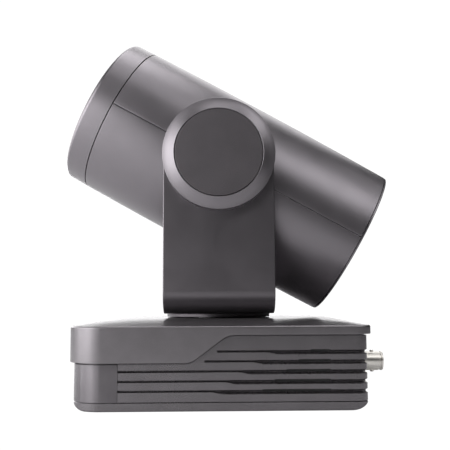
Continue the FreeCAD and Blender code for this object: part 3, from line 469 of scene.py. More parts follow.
PAINTS = (
    satin_paint("body_paint", (0.215, 0.2, 0.216), 0.38, 0.92, 0.012),
    satin_paint("yoke_paint", (0.16, 0.148, 0.16), 0.38, 0.92, 0.014),
    moulded("base_plastic", (0.19, 0.178, 0.189), 0.27, 0.88, 0.01),
    moulded("lid_plastic", (0.215, 0.202, 0.214), 0.34, 0.88, 0.01),
    moulded("cap_face", (0.105, 0.096, 0.104), 0.5, 0.7, 0.03),
    smoked("smoked_window"),
    glass("optical_glass", (0.93, 0.95, 0.97), Coat_Weight=0.5, Thin_Film_Thickness=420.0, Thin_Film_IOR=1.38),
    glass("front_glass", (0.62, 0.63, 0.65)),
    plain("lens_black", (0.016, 0.016, 0.017), 0.6, 0.35, 0.02),
    metal("nickel", (0.86, 0.83, 0.78), 0.34, (1, 0.15, 1), 0.4, 0.006),
    metal("steel", (0.56, 0.56, 0.57), 0.3, (1, 1, 0.15)),
    metal("dark_steel", (0.09, 0.09, 0.095), 0.38),
    metal("aluminium", (0.64, 0.64, 0.66), 0.32, (1, 0.2, 1)),
    metal("brass", (0.76, 0.56, 0.24), 0.24, (1, 1, 0.2)),
    plain("gear_plastic", (0.8, 0.78, 0.72), 0.45, 0.4, 0.01, 0.04, Subsurface_Weight=0.1),
    circuit_board("circuit_board"),
    metal("port_shell", (0.62, 0.61, 0.6), 0.27, (0.15, 1, 1)),
    plain("port_black", (0.022, 0.022, 0.023), 0.5, 0.3, 0.015),
    plain("insulator_white", (0.84, 0.83, 0.79), 0.4, 0.5, 0.01, 0.03),
    plain("rubber_black", (0.024, 0.024, 0.024), 0.75, 0.25, 0.03, 0.15),
    plain("led_lens", (0.25, 0.55, 0.3), 0.2, 1.0, 0.005, Transmission_Weight=0.4),
)
MATERIALS = {paint.name: paint.material for paint in PAINTS}


def dress_cad_nodes():
    """Every CAD node that stays in sight takes the finish of its slot."""
    for part in frame["record"]["subparts"]:
        mesh = frame["nodes"][part["node"]].data
        mesh.materials.clear()
        mesh.materials.append(MATERIALS[part["material_slot"]])


# ------------ base


# Plan of the base, and how far the top cover stands out from it.
HOUSING_LOW, HOUSING_HIGH = span("bottom_tray")
TRAY_TOP = HOUSING_HIGH.z
TOP_LOW, TOP_HIGH = span("top_cover")
TOP_INSIDE = span("main_housing")[1].z
FRONT_CORNER, REAR_CORNER, CORNER_STEPS = 15.0, 6.0, 14
WALL = 2.4
OVERHANG = 2.0
SKIRT = OVERHANG - 0.3

# Louvre grooves, numbered from the top. Behind LIP_START a groove's lower edge drops.
GROOVES = 5
GROOVE_TOP_Z, GROOVE_PITCH = 27.7, 4.6
GROOVE_HALF, GROOVE_DEPTH, EDGE, FLAT = 0.45, 1.95, 0.12, 0.04
GROOVE_STARTS = (-1.4, -7.3, -100, -100, -100)
GROOVE_END_X = 59.0
LIP_DROP, LIP_START, LIP_STEP, LIP_RAMP = 0.95, 22.4, 6.6, 5.5
SLOT_LEFT, SLOT_STEP, SLOT_RIGHT, SLOT_RISE = 43.0, 5.75, 52.3, 0.3

# Where the window ends, the opening for the connectors, the width of an abrupt step, and a margin
# for comparing places.
WINDOW_END = -48.0
OPENING_HALF, OPENING_LOW, OPENING_HIGH = 50.0, 7.0, 31.0
STEP = 0.06
NEAR = 0.01

# The top cover's lower edge and the shadow gap under it, then its rim and its crown.
EDGE_FRONT, EDGE_REAR = TOP_LOW.z, 35.5
SLANT_START, SLANT_END, SLANT_ROUND = -13.7, 3.7, 10.0
SLANT_STOPS = [SLANT_START - 4 + 0.75 * step for step in range(34)]
SHADOW_LOW, SHADOW_LOW_AHEAD, SHADOW_HIGH, SHADOW_DEPTH, SHADOW_EDGE = 0.6, 0.45, 0.3, 1.2, 0.03
RIM_Z, RIM_ROUND = 39.7, 0.9
CROWN_HALF, CROWN_REAR, CROWN_CORNER = 50.0, 60.0, 34.0
HUB_OPENING = 16.0

# Rows of the housing's wall: below the grooves, above them, in each groove, and where a slot opens.
ROWS_BELOW, ROWS_ABOVE, ROWS_PER_GROOVE, SLOT_ROW = 3, 6, 7, 3
ROW_GAP = 0.005


def perimeter(side_stops, rear_stops, low=HOUSING_LOW, high=HOUSING_HIGH, overhang=0.0):
    """Points and outward normals round the base's plan, from the right front corner rearwards. The
    stops are extra Y places on the sides and X places on the rear."""
    front_corner, rear_corner = FRONT_CORNER + overhang, REAR_CORNER + overhang

    def corner(across, along, radius, first):
        for step in range(CORNER_STEPS + 1):
            angle = radians(first + 90 * step / CORNER_STEPS)
            out = Vector((cos(angle), sin(angle)))
            yield Vector((across, along)) + out * radius, out

    front, rear = low.y + front_corner, high.y - rear_corner
    path = [(Vector((high.x, y)), Vector((1, 0))) for y in side_stops]
    path += corner(high.x - rear_corner, rear, rear_corner, 0)
    path += [(Vector((x, high.y)), Vector((0, 1))) for x in reversed(rear_stops)]
    path += corner(low.x + rear_corner, rear, rear_corner, 90)
    path += [(Vector((low.x, y)), Vector((-1, 0))) for y in reversed(side_stops)]
    path += corner(low.x + front_corner, front, front_corner, 180)
    path += corner(high.x - front_corner, front, front_corner, 270)
    return path


def inset_loop(path, inset, height):
    """A loop of the path at an inset. Height is a number or a function of the point."""
    made = []
    for point, out in path:
        moved = point - out * inset
        made.append((moved.x, moved.y, height(moved) if callable(height) else height))
    return made


def round_over(radius, steps):
    """Inset and rise at each step round a quarter circle, from its foot to its side."""
    for step in range(steps + 1):
        turn = pi / 2 * step / steps
        yield radius * (1 - sin(turn)), radius * (1 - cos(turn))


def smooth_step(value):
    """Eases a value from 0 to 1, level at both ends."""
    value = min(max(value, 0), 1)
    return value * value * (3 - 2 * value)


def groove_rows(index, point):
    """Height and depth of a louvre groove's V section at a point of the housing's side. Where the
    slot opens, the V turns into a sill below it and a square lintel above."""
    middle = GROOVE_TOP_Z - index * GROOVE_PITCH
    left = SLOT_LEFT - index * SLOT_STEP
    on_rear = point.y > HOUSING_HIGH.y - REAR_CORNER + NEAR and abs(point.x) < GROOVE_END_X + STEP / 2
    cut = point.y > GROOVE_STARTS[index] + STEP / 2 and point.y > WINDOW_END - NEAR and not on_rear
    slotted = left - STEP / 2 < point.y < SLOT_RIGHT + STEP / 2
    drop = LIP_DROP * smooth_step((point.y - LIP_START + index * LIP_STEP) / LIP_RAMP) if cut else 0
    deep, edge = (GROOVE_DEPTH, EDGE) if cut else (0, 0)
    top, low = middle + GROOVE_HALF + (SLOT_RISE if slotted else 0), middle - GROOVE_HALF - drop
    root = middle - drop / 2
    deepest = (middle - GROOVE_HALF, top - EDGE) if slotted else (root, root + FLAT)
    rows = [(low - EDGE, 0), (low, edge), (deepest[0] - FLAT, deep), (deepest[0], deep), (deepest[1], deep)]
    return rows + [(top, edge), (top + EDGE, 0)]


def housing_sections(point):
    """All rows of the housing's outer wall at a point, from the bottom up. The tray's seam is at the
    bottom. A shadow gap runs under the top cover's edge, and the rows above it are pressed below it."""
    seam, seam_depth = 0.14, 0.3
    rows = [(TRAY_TOP + seam, seam_depth), (TRAY_TOP + seam + seam_depth, 0), (OPENING_LOW, 0)]
    for index in reversed(range(GROOVES)):
        rows += groove_rows(index, point)
    rows.append((OPENING_HIGH, 0))
    ahead = point.y < WINDOW_END
    lid = skirt_edge(point.y)
    low, high = lid - (SHADOW_LOW_AHEAD if ahead else SHADOW_LOW), lid + SHADOW_HIGH
    for place in range(ROWS_BELOW, len(rows)):
        height, depth = rows[place]
        rows[place] = (min(height, low - ROW_GAP * (len(rows) - place)), SHADOW_DEPTH if ahead else depth)
    rows += [(low, SHADOW_DEPTH if ahead else 0), (low + SHADOW_EDGE, SHADOW_DEPTH)]
    return rows + [(high, SHADOW_DEPTH), (high + SHADOW_EDGE, 0), (TOP_INSIDE, 0)]


def main_housing():
    """The upright wall with its louvre grooves and slots, open at the front for the window and at
    the rear for the connectors."""
    stops = {WINDOW_END, WINDOW_END - STEP, -30, *SLANT_STOPS, SLOT_RIGHT, SLOT_RIGHT + STEP}
    for index, start in enumerate(GROOVE_STARTS):
        if start > WINDOW_END:
            stops |= {start, start + STEP}
        ramp, left = LIP_START - index * LIP_STEP, SLOT_LEFT - index * SLOT_STEP
        stops |= {left, left - STEP, *(round(ramp + LIP_RAMP * step / 6, 3) for step in range(7))}
    rear_stops = [-GROOVE_END_X - STEP, -GROOVE_END_X, -OPENING_HALF, 0]
    rear_stops += [-x for x in reversed(rear_stops[:-1])]
    path = perimeter(sorted(stops), rear_stops)
    rows = list(zip(*(housing_sections(point) for point, _ in path)))
    outer = [[(*(point - out * depth), height) for (point, out), (height, depth) in zip(path, row)] for row in rows]
    inner = [[(*(point - out * WALL), height) for (point, out), (height, _) in zip(path, row)] for row in rows]
    middles = [(path[i][0] + path[(i + 1) % len(path)][0]) / 2 for i in range(len(path))]
    front_row = ROWS_BELOW + ROWS_PER_GROOVE * (GROOVES - 2)

    def present(row, column):
        middle = middles[column]
        if middle.y < WINDOW_END:
            return row >= front_row
        if middle.y > HOUSING_HIGH.y - NEAR and abs(middle.x) < OPENING_HALF:
            return row < ROWS_BELOW - 1 or row >= len(rows) - ROWS_ABOVE
        groove, part = divmod(row - ROWS_BELOW, ROWS_PER_GROOVE)
        if part == SLOT_ROW and 0 <= groove < GROOVES and abs(middle.x) > HOUSING_HIGH.x - NEAR:
            left = SLOT_LEFT - (GROOVES - 1 - groove) * SLOT_STEP
            return not left < middle.y < SLOT_RIGHT
        return True

    shape = walled(outer, inner, present, loop=True)
    piece("housing_wall", [shape], "base", "base_plastic", ["main_housing"])


def vent_shade_sheets():
    """A ribbed black sheet behind each side's slots, as painted shade: it makes the slots as dark as the shade
    inside them.
    """
    front, rear, bottom, soft = 16, 55, 6.5, 0.1
    sheet, rib_out, rib_half = 0.5, 1.2, 0.4
    shapes = []
    for sign in (-1, 1):
        far = sign * (HOUSING_HIGH.x - WALL - 0.1)
        near = far - sign * sheet
        rib = near - sign * rib_out
        shapes.append(slab((min(far, near), front, bottom), (max(far, near), rear, OPENING_HIGH), soft))
        for index in range(GROOVES + 1):
            height = GROOVE_TOP_Z - (index - 0.5) * GROOVE_PITCH
            low = (min(near, rib), front + 1, height - rib_half)
            shapes.append(slab(low, (max(near, rib), rear - 1, height + rib_half), soft))
    # Painted shade: these black sheets stand in for the shade behind the slots.
    piece("vent_shade_sheets", shapes, "base", "port_black")


def end_cutter(edge, inward, run, rise):
    """A prism across the base that curves the tray's bottom up towards an end. Inward is 1 or -1."""
    beyond, clear, steps = 1, 0.05, 8
    radius = (run**2 + rise**2) / (2 * rise)
    half = acos(1 - rise / radius)
    tip = edge + inward * (run + clear)
    outline = [(tip, -beyond), (edge - inward * beyond, -beyond), (edge - inward * beyond, rise), (edge, rise)]
    for step in range(1, steps + 1):
        turn = half * (1 - step / steps)
        outline.append((edge + inward * (run - radius * sin(turn)), radius * (1 - cos(turn))))
    outline.append((tip, -0.001))
    return stacked([[(x, y, z) for y, z in outline] for x in (-80, 80)])


def bottom_tray():
    """The shallow tray under the base, curved up at both ends, with foot seats and screw recesses."""
    path = perimeter((0,), (0,))
    radius, floor_z, inside, soft = 0.8, 2.2, 4.4, 0.15
    rise, run_front, run_rear = 3.7, 8.0, 9.4
    tripod_hole, head, recess, shank, seat = 7.1, 3.2, 1.6, 1.6, 6.1
    loops = [inset_loop(path, inset, rise_at) for inset, rise_at in round_over(radius, 4)]
    for inset, height in ((0, TRAY_TOP - soft), (soft, TRAY_TOP), (inside, TRAY_TOP), (inside, floor_z)):
        loops.append(inset_loop(path, inset, height))
    under, over = -1, TRAY_TOP + 1
    cutters = [end_cutter(HOUSING_LOW.y, 1, run_front, rise), end_cutter(HOUSING_HIGH.y, -1, run_rear, rise)]
    cutters.append(rod("Z", (0, 0), tripod_hole, under, over, 0.0, 64))
    for spot, *_ in round_solids("tray_screws"):
        section = [(0, under), (head, under), (head, recess), (shank, recess), (shank, over), (0, over)]
        cutters.append(turned(section, "Z", spot, 40))
    for spot, _, _, top in round_solids("rubber_feet"):
        cutters.append(rod("Z", spot, seat, under, top, 0.0, 64))
    piece("tray_shell", [stacked(loops)], "base", "base_plastic", ["bottom_tray"], cutters=cutters)


def skirt_edge(y):
    """Height of the top cover's lower edge: low in front, high behind, with a rounded slant between."""
    slope = atan2(EDGE_REAR - EDGE_FRONT, SLANT_END - SLANT_START)
    reach = SLANT_ROUND * tan(slope / 2)
    if y < SLANT_START - reach:
        return EDGE_FRONT
    if y < SLANT_START + reach * cos(slope):
        run = y - (SLANT_START - reach)
        return EDGE_FRONT + SLANT_ROUND - sqrt(SLANT_ROUND**2 - run**2)
    if y < SLANT_END - reach * cos(slope):
        return EDGE_FRONT + (y - SLANT_START) * tan(slope)
    if y < SLANT_END + reach:
        run = SLANT_END + reach - y
        return EDGE_REAR - SLANT_ROUND + sqrt(SLANT_ROUND**2 - run**2)
    return EDGE_REAR


def crown_spot(x, y):
    """Where the edge of the crown's flat middle lies in the direction of a point."""
    long = CROWN_REAR if y > 0 else CROWN_HALF
    ahead = Vector((abs(x), abs(y))).normalized()
    corner = Vector((CROWN_HALF - CROWN_CORNER, long - CROWN_CORNER))
    reach = min(CROWN_HALF / max(ahead.x, STEP), long / max(ahead.y, STEP))
    if ahead.x * reach > corner.x and ahead.y * reach > corner.y:
        along = ahead.dot(corner)
        reach = along + sqrt(along**2 - corner.length_squared + CROWN_CORNER**2)
    return Vector((copysign(ahead.x * reach, x), copysign(ahead.y * reach, y)))


def top_cover():
    """The crowned lid, whose skirt laps the housing and is cut away in a slanting line at the sides."""
    stops = [-50, -30, *SLANT_STOPS, 30, 50]
    path = perimeter(stops, (-40, 0, 40), TOP_LOW, TOP_HIGH, OVERHANG)
    soft, bow, count = 0.3, 0.6, 12
    loops = [inset_loop(path, SKIRT, lambda p: skirt_edge(p.y))]
    for inset, rise in round_over(soft, 3):
        loops.append(inset_loop(path, inset, lambda p: skirt_edge(p.y) + rise))
    for drop, inset in round_over(RIM_ROUND, 5):
        loops.append(inset_loop(path, inset, RIM_Z - drop))
    shoulder, crown = RIM_Z + 0.06, TOP_HIGH.z
    edge = inset_loop(path, 2 * RIM_ROUND, shoulder)
    plateau = [crown_spot(x, y) for x, y, _ in edge]
    loops.append(edge)
    for step in range(1, count + 1):
        share = step / count
        height = min(shoulder + (crown - shoulder) * share * (1 + bow * (1 - share)), crown)
        loops.append([(*Vector(start[:2]).lerp(end, share), height) for start, end in zip(edge, plateau)])
    loops.append([(*(spot * 0.8), crown) for spot in plateau])
    hole, bevel = HUB_OPENING, 0.4
    rings = ((30, crown), (22, crown), (hole + bevel, crown), (hole, crown - bevel), (hole, TOP_INSIDE))
    for radius, height in rings:
        loops.append([(*(spot.normalized() * radius), height) for spot in plateau])
    loops.append(inset_loop(path, SKIRT, TOP_INSIDE))
    piece("lid_shell", [stacked(loops, ends=False)], "base", "base_plastic", ["top_cover"], finish="lid_plastic")


def ir_window():
    """The smoked strip wrapped round the front of the base."""
    low, high = span("ir_window")
    path = perimeter((high.y,), (0,))
    strip = [(point, out) for point, out in path if point.y < high.y + NEAR]
    strip = strip[1:] + strip[:1]
    soft, sheet = 0.2, 2.0
    rows = [(low.z, soft), (low.z + soft, 0), (high.z - soft, 0), (high.z, soft)]
    outer = [inset_loop(strip, inset, height) for height, inset in rows]
    inner = [inset_loop(strip, sheet, height) for height, _ in rows]
    shape = walled(outer, inner)
    piece("window_strip", [shape], "base", "smoked_window", ["ir_window"])


def feet():
    """Round rubber feet with a shallow dimple in the middle."""
    dimple, soft = 0.2, 0.25
    shapes = []
    for spot, radius, low, high in round_solids("rubber_feet"):
        section = [(0, low + soft), (3.2, low + dimple), (3.6, low), (radius - 1.0, low)]
        section += [(radius - 0.5, low + soft), (radius, high), (0, high)]
        shapes.append(turned(section, "Z", spot, 64))
    piece("feet_pads", shapes, "base", "rubber_black", ["rubber_feet"])


def hexed(angle):
    """How far a hexagon reaches at an angle, as a multiple of the reach at the middle of its sides."""
    return 1 / cos((angle + pi / 6) % (pi / 3) - pi / 6)


def screw_head(centre, radius, seat, crown):
    """A low button head on Z with a six-sided socket. Crown is the height of its top."""
    rise = 1 if crown > seat else -1
    key = radius * 0.42

    def socket(angle):
        return key * hexed(angle)

    rings = [(radius - 0.15, seat), (radius, seat + rise * 0.15), (radius * 0.93, crown - rise * 0.25)]
    rings += [(radius * 0.78, crown), (socket, crown), (socket, crown - (crown - seat) * 0.65)]
    return stacked([[(x, y, height) for x, y in around(centre, reach, 48)] for reach, height in rings])


def yoke_screws():
    """The screws in the yoke's floor."""
    shapes = [screw_head(*solid) for solid in round_solids("yoke_screws")]
    piece("yoke_screw_heads", shapes, "yoke", "dark_steel", ["yoke_screws"])


def bnc_jack():
    """The bright bayonet jack: hexagon nut, stepped barrel with a rolled lip, and two lugs."""
    core_low, core_high = span("bnc_insulator")
    spot = ((core_low.x + core_high.x) / 2, (core_low.z + core_high.z) / 2)
    barrel, waist, groove, bore, pin = 4.825, 4.475, 4.525, 4.05, 2.4
    body, start, bottom = 5.6, 60, 73
    end, panel = span("bnc_jack")[1].y, span("rear_panel")[1].y
    section = [(pin, start), (body, start), (body, panel - 0.1)]
    section += [(waist, panel - 0.1), (waist, panel + 2.2), (barrel, panel + 2.5)]
    section += [(barrel, end - 2.3), (groove, end - 2.1), (groove, end - 1.2)]
    section += [(barrel, end - 1.0, 0.1), (barrel, end, 0.3), (bore, end, 0.2), (bore, bottom), (pin, bottom)]
    shapes = [turned(eased(section, 3), "Y", spot, 96)]
    flats, corners, inside, chamfer, thick, soft = 5.65, 6.2, 4.0, 0.94, 1.3, 0.25
    rings = [(0, thick), (0, 0), (chamfer, 0), (1, soft), (1, thick - soft), (chamfer, thick)]
    nut = []
    for scale, along in rings:
        loop = around(spot, lambda angle: min(corners, flats * hexed(angle)) * scale or inside, 72)
        nut.append([(x, panel + along, z) for x, z in loop])
    shapes.append(stacked(nut, ends=False))
    lug_y, lug, lug_reach = 78.8, 0.95, 5.5
    for sign in (-1, 1):
        first, last = sorted((spot[1] + sign * (barrel - 0.4), spot[1] + sign * lug_reach))
        shapes.append(rod("Z", (spot[0], lug_y), lug, first, last, 0.15, 32))
    half, front, rear, foot = 7, 54, 65.9, 9.6
    shapes.append(slab((spot[0] - half, front, foot), (spot[0] + half, rear, spot[1] + half), 0.4))
    piece("bnc_barrel", shapes, "base", "nickel", ["bnc_jack"])


def port_details():
    """Tongues, contacts, keys and lamps inside the rear connectors."""
    face = span("lan_port")[1].y
    ports = ("lan_port", "usb_port", "hdmi_port", "serial_port")
    lan, usb, hdmi, serial = (sum(corner.x for corner in span(node)) / 2 for node in ports)
    black, brass, lamps, corners = [], [], [], []
    lan_back, usb_back, hdmi_back = 57, 56, 59
    for sign in (-1, 1):
        for near, low, high in ((2.0, 11.3, 12.7), (3.1, 12.7, 13.9)):
            start, end = sorted((lan + sign * near, lan + sign * 6))
            black.append(slab((start, lan_back, low), (end, face - 0.3, high), 0.1))
        start, end = sorted((lan + sign * 3.2, lan + sign * 6.2))
        lamps.append(slab((start, face - 1, 20.3), (end, face + 0.12, 22), 0.15))
        wedge = [(hdmi + sign * 7.15, 10.2), (hdmi + sign * 7.15, 12.2), (hdmi + sign * 5.6, 10.2)]
        corners.append(stacked([[(x, y, z) for x, z in wedge] for y in (hdmi_back, face - 0.2)]))
    for index in range(8):
        x, half = lan + (index - 3.5) * 1.02, 0.22
        wire = [(x - half, 0), (x + half, 0), (x + half, 0.25), (x - half, 0.25)]
        brass.append(stacked([[(x, y, lift + z) for x, z in wire] for y, lift in ((57.5, 15.6), (66.4, 18.9))]))
    black.append(slab((usb - 5.6, usb_back, 13.7), (usb + 5.6, face - 1, 15.4), 0.2))
    black.append(slab((hdmi - 6.2, hdmi_back, 12.4), (hdmi + 6.2, face - 1.2, 13.3), 0.15))
    for middle, count, pitch, half, back, low, high in (
        (usb, 4, 2.5, 0.55, 57, 13.58, 13.75),
        (hdmi, 9, 1.25, 0.3, 59.5, 13.2, 13.38),
    ):
        for index in range(count):
            x = middle + (index - (count - 1) / 2) * pitch
            brass.append(slab((x - half, back, low), (x + half, face - 1.5, high), 0.04))
    serial_z, hole, back, front = 16.3, 0.38, 66, 67.45
    for x, z in ((0.9, -2.0), (2.1, -0.3), (0.75, 0.1), (1.3, 1.8)):
        for sign in (-1, 1):
            black.append(rod("Y", (serial + sign * x, serial_z + z), hole, back, front, 0.03, 20))
    piece("port_tongues", black, "base", "port_black")
    piece("port_contacts", brass, "base", "brass")
    piece("port_lamps", lamps, "base", "led_lens")
    piece("port_corners", corners, "base", "port_shell")


# ------------ yoke


def yoke_bracket():
    """A bent strap with round ends and softly broken edges."""
    low, high = span("yoke_bracket")
    half, outside = high.y, high.x
    thick, bend, edge, foot = 3.8, 11.5, 0.45, 18
    pivot_hole, cable_hole = 8.05, 6.0
    profile = []
    for middle, first in ((edge, 270), (thick - edge, 180)):
        for step in range(4):
            turn = radians(first - 30 * step)
            profile.append((edge + edge * cos(turn), middle + edge * sin(turn)))

    def row(side, height, round_turn=0.0, bend_turn=0.0, run=outside - bend):
        """A section of the strap, turned along its round end or round its bend."""
        made = []
        for hand, points in ((-1, profile), (1, profile[::-1])):
            for inset, depth in points:
                x = side * (run + (bend - depth) * cos(bend_turn))
                y = hand * (half - inset) * cos(round_turn)
                z = height + (half - inset) * sin(round_turn) - (bend - depth) * sin(bend_turn)
                made.append((x, y, z))
        return made

    quarter = pi / 2
    rows = []
    for side in (-1, 1):
        arm = [row(side, AXIS_Z, quarter * (1 - step / 24)) for step in range(25)]
        arm += [row(side, AXIS_Z - drop) for drop in (12, 30, 50)]
        arm += [row(side, low.z + bend, 0, quarter * step / 16) for step in range(17)]
        arm.append(row(side, low.z + bend, 0, quarter, foot))
        rows += arm if side < 0 else arm[::-1]
    cutters = [rod("X", (0, AXIS_Z), pivot_hole, -outside - 2, outside + 2, 0.0, 64)]
    cutters.append(rod("Z", (0, 0), cable_hole, low.z - 1, low.z + thick + 1, 0.0, 64))
    piece("yoke_strap", [stacked(rows)], "yoke", "yoke_paint", ["yoke_bracket"], cutters=cutters)


def hubs():
    """The round covers over the pivots, each with a matt disc set in a hollowed bevelled ring."""
    bore, roof = 16, 3.2
    for side, sign in (("left", 1), ("right", -1)):
        low, high = span(f"{side}_hub_cover")
        cap_low, cap_high = span(f"{side}_hub_cap")
        face, back = max(abs(low.x), abs(high.x)), min(abs(low.x), abs(high.x))
        radius, disc = (high.y - low.y) / 2, (cap_high.y - cap_low.y) / 2
        rim, lip, seat, pocket = face - 2.4, disc + 0.55, disc + 0.2, face - 2.6
        cove = [(radius + (lip - radius) * share, rim + (face - rim) * share**1.4) for share in (0.2, 0.4, 0.6, 0.8)]
        ring = [(bore, back), (radius, back), (radius, rim, 0.3), *cove, (lip, face, 0.2)]
        ring += [(seat, face - 0.35, 0.1), (seat, pocket), (0, pocket), (0, back + roof), (bore, back + roof)]
        ring = eased(ring, 5)
        ring = ring[-2:] + ring[:-2]
        foot = face - 2.55
        cap = [(0, foot)] + eased([(disc, foot), (disc, face, 0.3), (0, face)], 4)
        for section, name, slot in ((ring, "cover", "body_paint"), (cap, "cap", "cap_face")):
            section = [(radius_at, sign * along) for radius_at, along in section]
            shape = turned(section, "X", (0, AXIS_Z), 192)
            piece(f"{side}_hub_{name}_shell", [shape], "yoke", slot, [f"{side}_hub_{name}"])


def turntable():
    """The disc under the yoke, and the small one that closes the cable hole in its floor."""
    low, high = span("pan_turntable")
    bore = 6
    section = eased([(bore, low.z), (high.x, low.z, 0.3), (high.x, high.z, 0.4), (bore, high.z)], 4)
    piece("turntable_disc", [turned(section, "Z")], "yoke", "yoke_paint", ["pan_turntable"])
    low, high = span("yoke_floor_plate")
    section = [(0, low.z)] + eased([(high.x, low.z), (high.x, high.z, 0.35), (0, high.z)], 4)
    piece("floor_disc", [turned(section, "Z")], "yoke", "yoke_paint", ["yoke_floor_plate"])


# ------------ head


BARREL_FRONT, BARREL_REAR, BARREL_BORE = 42.9, 42.35, 40.4
SEAM = 0.22
RING_GAP = 0.35
LOWER_EDGE = -1.15
AXLE_NOTCH = 12.0


def spun(name, section, slot, node, sides):
    """A piece of the head that is round about the barrel's line."""
    piece(name, [turned(section, "Y", sides=sides)], "head", slot, [node], HEAD)


def barrel_radius(along, low, high):
    """The barrel's slightly swollen outer radius."""
    arc = 4100.0
    share = (along - low) / (high - low)
    half = (high - low) / 2
    swell = sqrt(arc**2 - (along - (low + high) / 2) ** 2) - sqrt(arc**2 - half**2)
    return BARREL_FRONT + (BARREL_REAR - BARREL_FRONT) * share + swell


def shells():
    """Upper and lower halves of the barrel, with softly broken edges at every seam."""
    low, high = span("upper_shell", HEAD)
    front, rear = low.y, high.y
    ease = [(0, SEAM), (0.07, SEAM * 0.4), (0.22, 0)]
    stations = [(front + run, drop) for run, drop in ease]
    stations += [(front + (rear - front) * step / 24, 0) for step in range(1, 24)]
    stations += [(rear - run, drop) for run, drop in reversed(ease)]
    sides, beyond = 96, 60
    for name, sign, split in (("upper", 1, low.z), ("lower", -1, LOWER_EDGE)):
        outer, inner = [], []
        for along, end_drop in stations:
            radius = barrel_radius(along, front, rear)
            for grid, reach in ((outer, radius), (inner, BARREL_BORE)):
                start = asin(sign * split / reach)
                turns = [(start + run / reach, drop) for run, drop in ease]
                turns += [(start + (pi - 2 * start) * step / sides, 0) for step in range(1, sides)]
                turns += [(pi - start - run / reach, drop) for run, drop in reversed(ease)]
                line = []
                for turn, drop in turns:
                    shown = reach - (max(drop, end_drop) if grid is outer else 0)
                    line.append((shown * cos(turn), along, sign * shown * sin(turn)))
                grid.append(line)
        shape = walled(outer, inner)
        notch = rod("X", (0, 0), AXLE_NOTCH, -beyond, beyond, 0.0, 64)
        piece(f"{name}_barrel_shell", [shape], "head", "body_paint", [f"{name}_shell"], HEAD, [notch])


def front_ring():
    """The round-nosed ring before the glass, with a tongue that plugs into the shells."""
    low, high = span("front_ring", HEAD)
    front, tongue = low.y, high.y
    seam = span("upper_shell", HEAD)[0].y - RING_GAP
    glass = span("front_glass", HEAD)[1].x
    outside, inside, ledge = BARREL_BORE - 0.2, BARREL_BORE - 2, 34.5
    seat, ledge_back = front + 4.2, front + 6.2
    section = [(BARREL_FRONT, seam, 0.22), (outside, seam), (outside, tongue), (inside, tongue)]
    section += [(inside, ledge_back), (ledge, ledge_back), (ledge, seat), (glass + 0.2, seat)]
    section += [(glass + 0.2, front + 0.9, 0.2), (glass + 1.1, front, 0.3), (42.6, front, 2.2)]
    spun("nose_ring", eased(section, 6), "body_paint", "front_ring", 192)


def rear_cap():
    """The flat end of the barrel, dished inside a narrow rim, with a tongue that plugs into it."""
    low, high = span("rear_cap", HEAD)
    radius, end = high.x, high.y
    outside, inside = BARREL_BORE - 0.1, BARREL_BORE - 2
    lip, back, dish = end - 0.9, end - 1.8, end - 0.35
    section = [(inside, back), (inside, low.y), (outside, low.y), (outside, lip), (radius, lip)]
    section += [(radius, end, 0.4), (radius - 3.2, end, 0.3), (radius - 3.6, dish, 0.3), (0, dish)]
    spun("tail_cap", [(0, back)] + eased(section, 4), "body_paint", "rear_cap", 192)


def optics():
    """Front pane, stepped light baffle, and the big coated element in its threaded tube."""
    low, high = span("front_glass", HEAD)
    section = [(0, low.y)] + eased([(high.x, low.y, 0.3), (high.x, high.y, 0.3), (0, high.y)], 3)
    spun("glass_pane", section, "front_glass", "front_glass", 160)

    low, high = span("lens_mask", HEAD)
    radius, hole, steps = high.x, 20.5, 9
    section = [(hole, high.y)]
    for step in range(steps):
        groove = hole + 0.3 + (radius - hole - 8) * step / steps
        section += [(groove, low.y + 0.45), (groove + 0.7, low.y + 0.1)]
    section += [(radius - 6, low.y), (radius, low.y), (radius, high.y)]
    spun("baffle_disc", section, "lens_black", "lens_mask", 160)

    low, high = span("lens_tube", HEAD)
    bore, wall, end_bore, end_wall = 19.5, high.x, 12.5, 2
    threads, first, pitch, depth = 12, low.y + 10, 1.2, 0.35
    section = [(end_bore, high.y), (wall, high.y), (wall, low.y), (bore, low.y)]
    for step in range(threads):
        along = first + pitch * step
        section += [(bore, along), (bore - depth, along + pitch / 2)]
    section += [(bore, high.y - end_wall), (end_bore, high.y - end_wall)]
    spun("lens_barrel", section, "lens_black", "lens_tube", 128)

    low, high = span("front_lens", HEAD)
    radius, bulge, dish, thick, steps = high.x, 52.0, 70.0, 4.3, 14

    def sag(curve, reach):
        return curve - sqrt(curve**2 - reach**2)

    back = low.y + sag(bulge, radius) + thick
    reaches = [radius * step / steps for step in range(steps + 1)]
    section = [(reach, low.y + sag(bulge, reach)) for reach in reaches]
    section += [(reach, back - sag(dish, radius) + sag(dish, reach)) for reach in reversed(reaches)]
    spun("front_element", section, "optical_glass", "front_lens", 128)


# ------------ stage


def camera():
    """The photograph's viewpoint, square to the object's side and level with the top of its base."""
    data = bpy.data.cameras.new("camera")
    data.lens = 56.83
    data.sensor_width = 36.0
    data.shift_x = -0.0009
    data.clip_start = 0.01
    item = in_scene("camera", data)
    right = Vector((0.0188, 0.99979, -0.00833))
    up = Vector((0.11023, 0.00621, 0.99388))
    back = Vector((0.99373, -0.0196, -0.11008))
    eye, roll = (0.40849, -0.00381, 0.05012), 0.0035
    turn = Matrix((right, up, back)).transposed().to_4x4() @ Matrix.Rotation(roll, 4, "Z")
    item.matrix_world = Matrix.Translation(eye) @ turn
    bpy.context.scene.camera = item


SEEN_WHITE = 1.05
STUDIO_GLOW = 0.02
LIT_SPOT = Vector((0, 0, 0.09))

